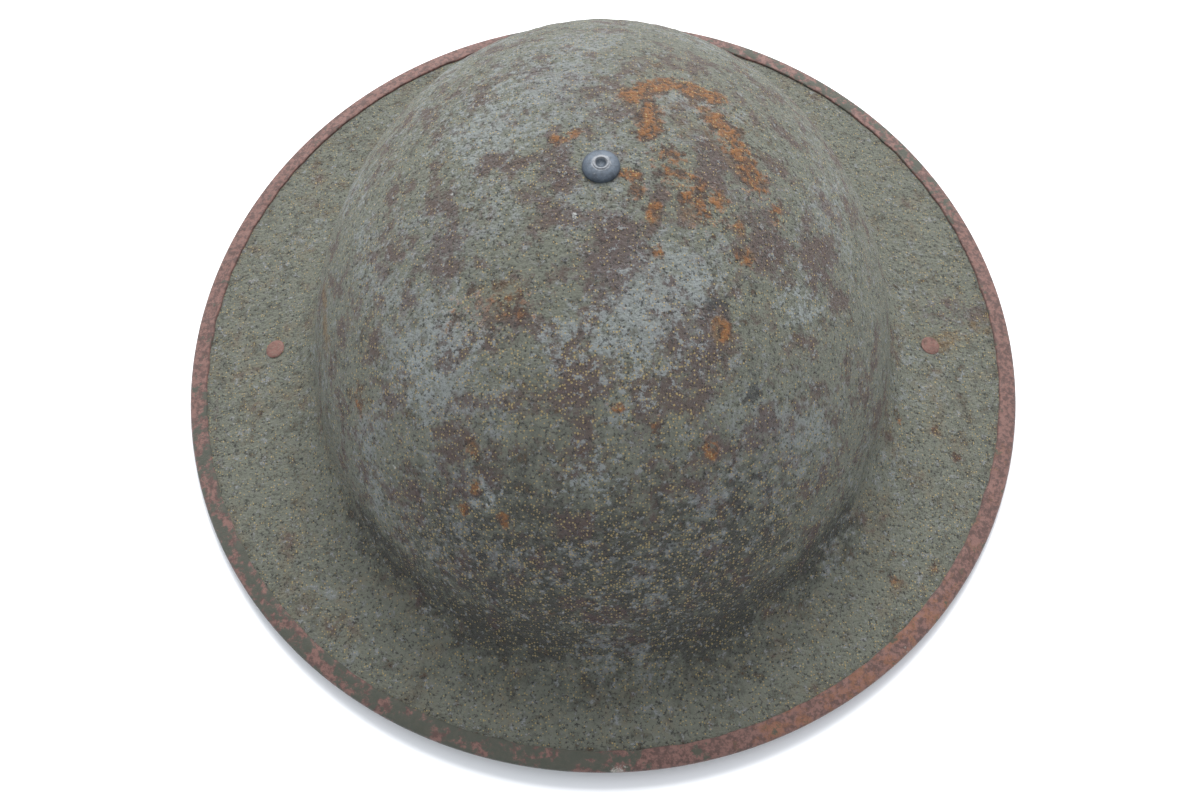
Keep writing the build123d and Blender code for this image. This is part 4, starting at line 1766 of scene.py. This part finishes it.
@dataclass(frozen=True)
class SideFittings:
    """On each side of the brim: a flush rivet, the folded clip under it and the clip's wire bail."""

    rivet_reach: float = 113.5 * MM
    head_gap: float = 0.06 * MM
    head_radius: float = 3.4 * MM
    head_height: float = 0.45 * MM
    shank_radius: float = 1.8 * MM
    tail_radius: float = 3.0 * MM
    tail_top: float = -3.04 * MM
    tail_height: float = 1.0 * MM
    clip_width: float = 13.0 * MM
    clip_thick: float = 0.9 * MM
    clip_foot: float = 6.5 * MM
    clip_reach: float = 9.0 * MM
    clip_top: float = -1.02 * MM
    clip_gap: float = 0.1 * MM
    eye_middle: float = 1.83 * MM
    eye_drop: float = -3.3 * MM
    # Degrees round the eye where the sheet's bend starts and ends
    eye_turn: Pair = (90.0, 380.0)
    drill_fit: float = 0.1 * MM
    drill_depth: float = 12.0 * MM
    bail_length: float = 13.0 * MM

    def build(self, iron: Material) -> None:
        """Makes both sides' fittings.

        Args:
            iron: the fittings' material.
        """
        for side, word in ((-1, "left"), (1, "right")):
            place = self.brim_place(side)
            rivet = spun(f"flush_rivet_{word}", self.rivet_outline(), steps=48)
            rivet.data.transform(place)
            dress(rivet, iron, "helmet", "rusted_steel", f"bail_rivet_{word}")
            clip = self.clip(f"folded_clip_{word}")
            clip.data.transform(place)
            dress(clip, iron, "helmet", "rusted_steel", f"bail_clip_{word}")
            bail = self.bail(f"wire_bail_{word}", place, side)
            dress(bail, iron, f"{word}_bail", "rusted_steel", f"bail_{word}")

    def brim_place(self, side: int) -> Matrix:
        """The place of the rivet on the brim's outer skin, with X down the slope.

        Args:
            side: -1 for the left and 1 for the right.

        Returns:
            The place.
        """
        slope = SKIN.side_slope
        rim_radius, rim_height = SKIN.brim_point(0.0, 0.0, 0.0)
        height = rim_height + math.tan(slope) * (rim_radius - self.rivet_reach)
        across = Vector((side * math.cos(slope), 0, -math.sin(slope)))
        up = Vector((side * math.sin(slope), 0, math.cos(slope)))
        place = Matrix((across, up.cross(across), up)).transposed().to_4x4()
        place.translation = (side * self.rivet_reach, 0, height)
        return place

    def rivet_outline(self) -> Outline:
        """The rivet from the top of its low head to its tail.

        Returns:
            Radius and height of each corner.
        """
        top = self.head_gap + self.head_height
        tail = self.tail_top - self.tail_height
        head = [(0.0, top), (0.55 * self.head_radius, 0.97 * top), (0.85 * self.head_radius, 0.8 * top)]
        head.append((self.head_radius, self.head_gap + 0.2 * self.head_height))
        head.append((self.head_radius, self.head_gap))
        shank = [(self.shank_radius, self.head_gap), (self.shank_radius, self.tail_top)]
        foot = [(self.tail_radius, self.tail_top), (self.tail_radius, 0.6 * tail + 0.4 * self.tail_top)]
        return head + shank + foot + [(0.8 * self.tail_radius, tail), (0.0, tail)]

    def clip(self, name: str) -> Piece:
        """The strip folded on itself, with its fold rolled into an eye for the bail.

        Args:
            name: the clip's name.

        Returns:
            The clip, before it is placed.
        """
        upper = self.clip_top - self.clip_thick / 2
        lower = upper - self.clip_thick - self.clip_gap
        eye = arc((-self.clip_reach, self.eye_drop), self.eye_middle, *self.eye_turn, 24)
        line = [(self.clip_foot, upper)] + eye
        line += [(eye[-1][0] + self.clip_thick, lower), (self.clip_foot, lower)]
        clip = strip(name, line, lambda _: self.clip_width / 2, self.clip_thick, step=0.5 * MM)
        drill(clip, self.shank_radius + self.drill_fit, self.drill_depth, (0.0, 0.0, 0.0), sides=32)
        return clip

    def bail(self, name: str, place: Matrix, side: int) -> Piece:
        """The wire loop from the clip's eye down to the bar that holds the strap.

        Args:
            name: the bail's name.
            place: the clip's place on the brim.
            side: -1 for the left and 1 for the right.

        Returns:
            The bail.
        """
        pivot = place @ Vector((-self.clip_reach, 0, self.eye_drop))
        run = (Vector((side * BAR_REACH, 0, BAR_HEIGHT)) - pivot).normalized()
        return WireLoop(self.bail_length).build(name, pivot, run)


# Liner


@dataclass(frozen=True)
class Cradle:
    """The outer band and the two webbing straps over the head, with the felt pad under the crown."""

    band_low: float = 20.0 * MM
    band_high: float = 42.0 * MM
    band_inset: float = 1.2 * MM
    thick: float = 1.2 * MM
    strap_half: float = 16.0 * MM
    cross_inset: float = 2.45 * MM
    long_inset: float = 3.7 * MM
    pad_radius: float = 30.0 * MM
    pad_inset: float = 4.95 * MM
    pad_thick: float = 4.0 * MM
    # Width and depth of the felt's hollows
    pad_hollow: Pair = (7.0 * MM, 0.35 * MM)
    soft: float = 0.3 * MM
    stitch: float = 3.0 * MM
    stitch_pitch: float = 4.5 * MM
    # Heights of the two rows of stitches
    stitch_rows: Pair = (24.0 * MM, 38.0 * MM)
    stitch_hem: float = 2.0 * MM
    stitch_lift: float = 0.05 * MM
    thread: float = 0.35 * MM

    def build(self, webbing: Material, felt: Material, thread: Material) -> None:
        """Makes the band, the straps, the pad and the stitching that holds them together.

        Args:
            webbing: the band's and the straps' material.
            felt: the pad's material.
            thread: the stitches' material.
        """
        band = round_piece("webbing_band", self.band_section, columns=240)
        dress(band, webbing, "helmet", "webbing", "outer_band")
        cross = self.strap("webbing_strap_cross", self.cross_inset, True)
        dress(cross, webbing, "helmet", "webbing", "cradle_strap_cross")
        long = self.strap("webbing_strap_long", self.long_inset, False)
        dress(long, webbing, "helmet", "webbing", "cradle_strap_long")
        pad = round_piece("crown_pad_felt", self.pad_section, columns=96)
        press(pad, *self.pad_hollow)
        dress(pad, felt, "helmet", "felt", "crown_pad")
        dress(self.sewing(), thread, "helmet", "webbing")

    def band_section(self, theta: float) -> Outline:
        """The band's outline."""
        return SKIN.side_layer(theta, self.band_low, self.band_high, self.band_inset, self.thick)

    def pad_section(self, theta: float) -> Outline:
        """The pad's outline."""
        return SKIN.crown_layer(theta, self.pad_radius, self.pad_inset, self.pad_thick)

    def strap(self, name: str, inset: float, across: bool) -> Piece:
        """A strap over the crown, held inside the band at both ends.

        Args:
            name: the strap's name.
            inset: depth of its outer face under the shell's outer skin.
            across: whether it runs from side to side.

        Returns:
            The strap.
        """
        depth = inset + self.thick / 2
        ends = [SKIN.dome_radius(theta, self.band_low, depth) for theta in (0.0, math.pi / 2)]
        end, side = ends if across else ends[::-1]
        lines = []
        for turn in spaced(-math.pi / 2, math.pi / 2, 120):
            line = []
            for aside in spaced(-self.strap_half, self.strap_half, 12):
                along = end * math.sqrt(1 - (aside / side) ** 2) * math.sin(turn)
                x, y = (along, aside) if across else (aside, along)
                line.append(Vector((x, y, SKIN.dome_height(math.atan2(y, x), math.hypot(x, y), depth))))
            lines.append(line)
        run = length_of([line[6] for line in lines])
        piece = grid(name, lines, (run, 2 * self.strap_half))
        thicken(piece, self.thick, self.soft, segments=2)
        return piece

    def sewing(self) -> Piece:
        """Two rows of stitches that hold each strap's end to the band.

        Returns:
            The joined stitches.
        """
        places = []
        reach = self.strap_half - self.stitch_hem
        count = round(2 * reach / self.stitch_pitch)
        for quarter, facing in enumerate(turns(4)):
            inset = (self.long_inset if quarter % 2 else self.cross_inset) + self.thick + self.stitch_lift
            for height in self.stitch_rows:
                radius = SKIN.dome_radius(facing, height, inset)
                for aside in spaced(-reach, reach, count):
                    theta = facing + aside / radius
                    places.append(along_ring(theta, SKIN.dome_radius(theta, height, inset), height))
        return stitches("cradle_sewing", places, self.stitch, self.thread)


@dataclass(frozen=True)
class Headband:
    """The oilcloth band round the head, the felt behind it and the rubber tubes round them."""

    gap: float = 0.3 * MM
    tube_radius: float = 4.8 * MM
    tube_bore: float = 2.6 * MM
    tube_height: float = 19.0 * MM
    tube_middle: float = 31.0 * MM
    tube_count: int = 12
    behind_height: float = 42.0 * MM
    behind_inset: float = 2.4 * MM
    band_thick: float = 1.1 * MM
    felt_thick: float = 2.0 * MM
    felt_gap: float = 0.05 * MM
    low: float = 18.0 * MM
    high: float = 52.0 * MM
    crease: float = 0.3 * MM
    crease_waves: float = 14.0
    crease_height: float = 9.0 * MM
    # Width and depth of the felt's hollows
    felt_hollow: Pair = (8.0 * MM, 0.12 * MM)
    soft: float = 0.5 * MM
    band_soft: float = 0.3 * MM
    stitch: float = 3.0 * MM
    stitch_pitch: float = 4.6 * MM
    stitch_hem: float = 3.0 * MM
    thread: float = 0.32 * MM

    def build(self, rubber: Material, oilcloth: Material, felt: Material, thread: Material) -> None:
        """Makes the tubes, the felt, the band and its stitching.

        Args:
            rubber: the tubes' material.
            oilcloth: the band's material.
            felt: the felt strip's material.
            thread: the stitches' material.
        """
        dress(self.tubes(), rubber, "helmet", "rubber", "rubber_buffers")
        backing = round_piece("headband_felt_strip", self.felt_section, columns=180)
        press(backing, *self.felt_hollow)
        dress(backing, felt, "helmet", "felt", "headband_felt")
        band = round_piece("oilcloth_headband", self.band_section, columns=288)
        dress(band, oilcloth, "helmet", "oilcloth", "headband")
        dress(self.sewing(), thread, "helmet", "oilcloth")

    def tube_centre(self, theta: float) -> float:
        """Distance of a tube's middle from the Z axis."""
        return SKIN.dome_radius(theta, self.behind_height, self.behind_inset) - self.gap - self.tube_radius

    def outside(self, theta: float) -> float:
        """Radius of the felt's outer face, just inside the tubes."""
        return self.tube_centre(theta) - self.tube_radius - self.gap

    def inside(self, theta: float) -> float:
        """Radius of the face that touches the head."""
        return self.outside(theta) - self.felt_thick - self.felt_gap - self.band_thick

    def around(self) -> float:
        """Length of the band's inner face round the head."""
        return math.pi * (self.inside(0.0) + self.inside(math.pi / 2))

    def tubes(self) -> Piece:
        """The rubber tubes, with rounded cut ends, one modelled and the others copied.

        Returns:
            The joined tubes.
        """
        low, high = self.tube_middle - self.tube_height / 2, self.tube_middle + self.tube_height / 2
        inner, outer, soft = self.tube_bore, self.tube_radius, self.soft
        outline = [(inner, low + soft), (inner + soft, low), (outer - soft, low), (outer, low + soft)]
        outline += [(outer, high - soft), (outer - soft, high), (inner + soft, high), (inner, high - soft)]
        thetas = turns(self.tube_count, 0.5)
        places = [Matrix.Translation(spot(theta, self.tube_centre(theta), 0)) for theta in thetas]
        return copies(spun("rubber_tube", outline, steps=32), places, "rubber_tubes")

    def felt_section(self, theta: float) -> Outline:
        """The felt strip's outline.

        Args:
            theta: direction, in radians from +X.

        Returns:
            The closed outline's corners.
        """
        outer, soft = self.outside(theta), self.soft
        inner = outer - self.felt_thick
        low, high = self.low + self.band_thick + self.felt_gap, self.high
        heights = spaced(low + soft, high - soft, 8)
        points = [(inner + soft, low), (outer - soft, low)] + [(outer, z) for z in heights]
        points += [(outer - soft, high), (inner + soft, high)]
        return points + [(inner, z) for z in heights[::-1]]

    def band_section(self, theta: float) -> Outline:
        """The oilcloth's outline, with soft creases and its lower edge turned out under the felt.

        Args:
            theta: direction, in radians from +X.

        Returns:
            The closed outline's corners.
        """
        inner, outer, soft = self.inside(theta), self.outside(theta), self.band_soft
        face, ledge = inner + self.band_thick, self.low + self.band_thick
        points = [(inner + soft, self.low), (outer - soft, self.low), (outer, self.low + soft)]
        points += [(outer - soft, ledge), (face + soft, ledge)]
        heights = spaced(ledge + soft, self.high - soft, 8)
        points += [(face, z) for z in heights] + [(face - soft, self.high), (inner + soft, self.high)]
        for z in heights[::-1]:
            bend = noise.noise(spot(theta, self.crease_waves, z / self.crease_height))
            points.append((inner + self.crease * max(0.0, bend), z))
        return points + [(inner, self.low + soft)]

    def sewing(self) -> Piece:
        """Two rows of stitches round the band's inner face.

        Returns:
            The joined stitches.
        """
        places = []
        for height in (self.low + self.stitch_hem, self.high - self.stitch_hem):
            for theta in turns(round(self.around() / self.stitch_pitch)):
                places.append(along_ring(theta, self.inside(theta), height))
        return stitches("headband_sewing", places, self.stitch, self.thread)


HEADBAND = Headband()


@dataclass(frozen=True)
class CrownNet:
    """The twine net over the head, its binding tape and the lace that gathers its top."""

    foot: float = 52.3 * MM
    rise: float = 38.0 * MM
    thick: float = 1.8 * MM
    hole_radius: float = 22.0 * MM
    lace_radius: float = 1.3 * MM
    lace_reach: float = 20.4 * MM
    lace_turns: int = 46
    tape_height: float = 5.0 * MM
    twine: float = 1.3 * MM
    sag: float = 0.4 * MM
    columns: int = 44
    levels: int = 18
    lowest: float = 0.04
    knot_turns: float = 2.5
    # How far from the knot's middle each half of its coil starts and ends
    knot_reach: Pair = (0.5 * MM, 2.4 * MM)
    knot_inset: float = 1.0 * MM
    # How far in from the headband's outside the tape's two faces lie
    tape_depths: Pair = (0.2 * MM, 1.7 * MM)

    def build(self, twine: Material, webbing: Material) -> None:
        """Makes the net, the tape and the lace.

        Args:
            twine: the net's and the lace's material.
            webbing: the tape's material.
        """
        dress(self.net(), twine, "helmet", "twine", "crown_net")
        tape = round_piece("net_tape", self.tape_section, columns=180)
        dress(tape, webbing, "helmet", "twine")
        dress(self.lace(), twine, "helmet", "twine", "net_lace")

    def across(self, theta: float, depth: float) -> float:
        """The net's radius at its foot."""
        return HEADBAND.outside(theta) - depth

    def height(self, theta: float, radius: float, depth: float) -> float:
        """Height of the net at a radius."""
        share = min(1.0, radius / self.across(theta, depth))
        return self.foot + (self.rise - depth) * math.sqrt(1 - share**2)

    def net(self) -> Piece:
        """Diamonds of twine, knotted where they meet.

        Returns:
            The net.
        """
        depth = self.thick / 2
        points = []
        for level in range(self.levels + 1):
            for theta in turns(self.columns, 0.5 * (level % 2)):
                across = self.across(theta, depth)
                high = math.acos((self.hole_radius + self.twine / 2) / across)
                radius = across * math.cos(self.lowest + (high - self.lowest) * level / self.levels)
                sag = self.sag * math.sin(math.pi * level / self.levels)
                points.append(spot(theta, radius, self.height(theta, radius, depth) - sag))
        faces = []
        for level in range(self.levels - 1):
            above = (level + 1) * self.columns
            for index in range(self.columns):
                left = (index + level % 2 - 1) % self.columns
                right = (index + level % 2) % self.columns
                low, high = level * self.columns + index, above + self.columns + index
                faces.append((low, above + right, high, above + left))
        mesh = bpy.data.meshes.new("twine_net")
        mesh.from_pydata(points, [], faces)
        piece = link("twine_net", mesh)
        weld(piece)
        apply_modifier(piece, "WIREFRAME", thickness=self.twine, use_even_offset=False, use_boundary=True)
        apply_modifier(piece, "SUBSURF", levels=1)
        smooth(piece, 180)
        return piece

    def tape_section(self, theta: float) -> Outline:
        """The tape that binds the net's foot.

        Args:
            theta: direction, in radians from +X.

        Returns:
            The closed outline's corners.
        """
        heights = spaced(self.foot, self.foot + self.tape_height, 4)
        points = []
        for depth, order in zip(self.tape_depths, (heights, heights[::-1])):
            for height in order:
                share = (height - self.foot) / (self.rise - depth)
                points.append((self.across(theta, depth) * math.sqrt(1 - share**2), height))
        return points

    def lace(self) -> Piece:
        """Two strands twisted together round the net's top, tied in a flat knot.

        Returns:
            The lace.
        """
        height = self.height(0.0, self.hole_radius, self.thick / 2)
        strand = self.lace_radius / 2
        pieces = []
        for start in (0.0, math.pi):
            points = []
            for theta in turns(8 * self.lace_turns):
                turn = start + self.lace_turns * theta
                reach = self.lace_reach + strand * math.cos(turn)
                points.append(spot(theta, reach, height + strand * math.sin(turn)))
            pieces.append(wire("lace_strand", points, 1.05 * strand, closed=True, sides=8))
        knot = Vector((self.knot_inset - self.lace_reach, 0, height))
        for side in (-1, 1):
            wraps = []
            for turn, along in zip(spaced(0.0, self.knot_turns * TURN, 40), spaced(*self.knot_reach, 40)):
                round_knot = (side * along, 2 * strand * math.cos(turn), 2 * strand * math.sin(turn))
                wraps.append(knot + Vector(round_knot))
            pieces.append(wire("lace_knot", wraps, strand, sides=8))
        return join(pieces, "twisted_lace")


# Chin strap


@dataclass(frozen=True)
class ChinStrap:
    """The leather strap in two pieces, with its rivets, buckle, tongue and keeper.

    Each piece is modelled from its bail's bar along +X, and those of the short one are turned round.
    """

    half_width: float = 8.0 * MM
    thick: float = 2.0 * MM
    low_ply: float = 2.5 * MM
    lap_ply: float = 4.5 * MM
    top_ply: float = 11.5 * MM
    lap: float = 24.0 * MM
    wrap_radius: float = 2.45 * MM
    long_run: float = 87.98 * MM
    fold_radius: float = 4.5 * MM
    tip: float = 12.0 * MM
    taper: float = 11.0 * MM
    hole_radius: float = 1.6 * MM
    first_hole: float = 34.0 * MM
    hole_pitch: float = 12.0 * MM
    hole_count: int = 5
    short_run: float = 56.0 * MM
    slot_width: float = 3.8 * MM
    slot_length: float = 10.9 * MM
    buckle_length: float = 16.0 * MM
    tongue_width: float = 3.0 * MM
    keeper_width: float = 7.0 * MM
    keeper_thick: float = 1.1 * MM
    # Half the loop's width and half its height
    keeper_half: Pair = (8.75 * MM, 2.75 * MM)
    keeper_place: float = 35.7 * MM
    keeper_corner: float = 0.9 * MM
    punch_depth: float = 4.0 * MM
    slot_depth: float = 14.0 * MM
    lap_rise: Line = ((6.0 * MM, 4.5 * MM), (4.4 * MM, 4.7 * MM), (3.0 * MM, 5.85 * MM))
    # Radius and height of a stud's head
    stud_head: Pair = (2.6 * MM, 0.7 * MM)
    stud_shank: float = 1.2 * MM
    stud_dome: Line = ((0.0, 1.0), (0.5, 0.95), (0.85, 0.65), (1.0, 0.15), (1.0, 0.0))
    tongue_thick: float = 1.0 * MM
    tongue_curl: float = 1.88 * MM
    tongue_line: Line = (
        (4.0 * MM, 2.2 * MM),
        (8.0 * MM, 2.3 * MM),
        (14.7 * MM, 2.0 * MM),
        (17.2 * MM, 1.85 * MM),
    )
    # Share of its width left at the point, and the length over which it gains a whole width
    tongue_point: Pair = (0.55, 9.0 * MM)
    long_rivets: tuple[float, ...] = (11.45 * MM, 19.45 * MM)
    short_rivets: tuple[float, ...] = (11.45 * MM, 19.45 * MM, 44.55 * MM)

    def build(self, leather: Material, japan: Material) -> None:
        """Makes both pieces and the metal on them.

        Args:
            leather: the strap's and the keeper's material.
            japan: the metal's material.
        """
        left = Matrix.Translation((-BAR_REACH, 0, 0))
        right = Matrix.Translation((BAR_REACH, 0, 0)) @ Matrix.Rotation(math.pi, 4, "Z")
        long_studs = self.studs("strap_studs_long", self.long_rivets)
        short_studs = self.studs("strap_studs_short", self.short_rivets)
        for piece, place, finish, body, slot, node in (
            (self.long_strap(), left, leather, "long_strap", "leather", "chinstrap_long"),
            (long_studs, left, japan, "long_strap", "buckle_steel", "strap_rivets_long"),
            (self.short_strap(), right, leather, "short_strap", "leather", "chinstrap_short"),
            (short_studs, right, japan, "short_strap", "buckle_steel", "strap_rivets_short"),
            (self.buckle(), right, japan, "buckle", "buckle_steel", "buckle_frame"),
            (self.tongue(), right, japan, "tongue", "buckle_steel", "buckle_tongue"),
            (self.keeper(), right, leather, "keeper", "leather", "strap_keeper"),
        ):
            piece.data.transform(place)
            dress(piece, finish, body, slot, node)

    def wrap(self, at: float, lap_to: float) -> Outline:
        """The strap's end, from its lap up over a bar and down to the lower ply.

        Args:
            at: the bar's place along the strap.
            lap_to: where the lap ends.

        Returns:
            The strap's middle line, from the lap's end to under the bar.
        """
        away = 1 if lap_to > at else -1
        bend = [*self.lap_rise] + arc((0, BAR_HEIGHT), self.wrap_radius, 50, 270, 22)
        return [(lap_to, self.lap_ply)] + [(at + away * x, z) for x, z in bend]

    def long_strap(self) -> Piece:
        """The long piece, folded back over itself, with a pointed tip and punched holes.

        Returns:
            The long piece, with its bail's bar on the Y axis.
        """

        def half_at(to_end: float) -> float:
            """Half its width at a distance from the pointed tip."""
            return self.half_width * min(1.0, 1 / 3 + 2 / 3 * to_end / self.taper)

        line = self.wrap(0.0, self.lap) + [(self.long_run, self.low_ply)]
        line += arc((self.long_run, self.low_ply + self.fold_radius), self.fold_radius, -90, 90, 18)
        strap = strip("leather_strap_long", line + [(self.tip, self.top_ply)], half_at, self.thick)
        for index in range(self.hole_count):
            middle = (self.first_hole + self.hole_pitch * index, 0.0, self.top_ply)
            drill(strap, self.hole_radius, self.punch_depth, middle, sides=28)
        smooth(strap)
        return strap

    def short_strap(self) -> Piece:
        """The short piece, lapped round its bail and round the buckle's bar, with the tongue's slot.

        Returns:
            The short piece, with its bail's bar on the Y axis.
        """
        line = self.wrap(0.0, self.lap) + self.wrap(self.short_run, self.short_run - self.lap)[::-1]
        strap = strip("leather_strap_short", line, lambda _: self.half_width, self.thick)
        deselect_all()
        size = (self.slot_length, self.slot_width, self.slot_depth)
        bpy.ops.mesh.primitive_cube_add(size=1, location=(self.short_run, 0, BAR_HEIGHT), scale=size)
        cut(strap, name_new("slot_cutter"))
        smooth(strap)
        return strap

    def studs(self, name: str, places: Sequence[float]) -> Piece:
        """Small domed rivets through the laps, at distances from the bar.

        Args:
            name: the studs' name.
            places: each stud's distance from the bail's bar.

        Returns:
            The joined studs.
        """
        top, low = self.lap_ply + self.thick / 2, self.low_ply - self.thick / 2
        head, rise = self.stud_head
        cap = [(head * across, rise * up) for across, up in self.stud_dome]
        outline = [(radius, top + lift) for radius, lift in cap]
        outline += [(self.stud_shank, top), (self.stud_shank, low)]
        outline += [(radius, low - lift) for radius, lift in cap[::-1]]
        middles = [Matrix.Translation((at, 0, 0)) for at in places]
        return copies(spun(name, outline, steps=24), middles, name)

    def buckle(self) -> Piece:
        """The wire buckle in the short piece's far end.

        Returns:
            The buckle.
        """
        near_bar = Vector((self.short_run, 0, BAR_HEIGHT))
        return WireLoop(self.buckle_length).build("wire_buckle", near_bar, Vector((1, 0, 0)))

    def tongue(self) -> Piece:
        """The tongue, curled round the near bar and resting on the far one.

        Returns:
            The tongue.
        """
        curl = arc((0, 0), self.tongue_curl, -30, -270, 24)
        line = [(self.short_run + x, BAR_HEIGHT + z) for x, z in curl + [*self.tongue_line]]
        blunt, taper = self.tongue_point

        def half_at(to_end: float) -> float:
            """Half its width at a distance from its point."""
            return self.tongue_width / 2 * min(1.0, blunt + to_end / taper)

        return strip("buckle_pin", line, half_at, self.tongue_thick, step=0.4 * MM)

    def keeper(self) -> Piece:
        """The leather loop round the lapped strap, behind the buckle.

        Returns:
            The keeper.
        """
        across, up = self.keeper_half
        loop = [(x - across, z) for x, z in rounded_loop(2 * across, up, self.keeper_corner)]
        loop.append(loop[0])
        keeper = strip(
            "leather_keeper", loop, lambda _: self.keeper_width / 2, self.keeper_thick, step=0.6 * MM
        )
        middle = Matrix.Translation((self.keeper_place, 0, (self.low_ply + self.lap_ply) / 2))
        keeper.data.transform(middle @ Matrix.Rotation(math.pi / 2, 4, "Z"))
        return keeper


def main() -> None:
    """Loads the frame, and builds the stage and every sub-assembly."""
    logging.basicConfig(level=logging.INFO, format="%(relativeCreated)d %(name)s: %(message)s")
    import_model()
    deselect_all()
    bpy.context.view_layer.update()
    Studio().build()
    iron, webbing, felt = RustedIron().build(), Webbing().build(), WoolFelt().build()
    thread, twine = LinenThread().build(), Twine().build()
    PressedShell().build(SandPaint().build())
    FoldedEdging().build(RustedStrip().build())
    CrownRivet().build(BluedSteel().build(), iron)
    SideFittings().build(iron)
    Cradle().build(webbing, felt, thread)
    HEADBAND.build(OldRubber().build(), Oilcloth().build(), felt, thread)
    CrownNet().build(twine, webbing)
    ChinStrap().build(StrapLeather().build(), Japanned().build())


if __name__ == "__main__":
    main()
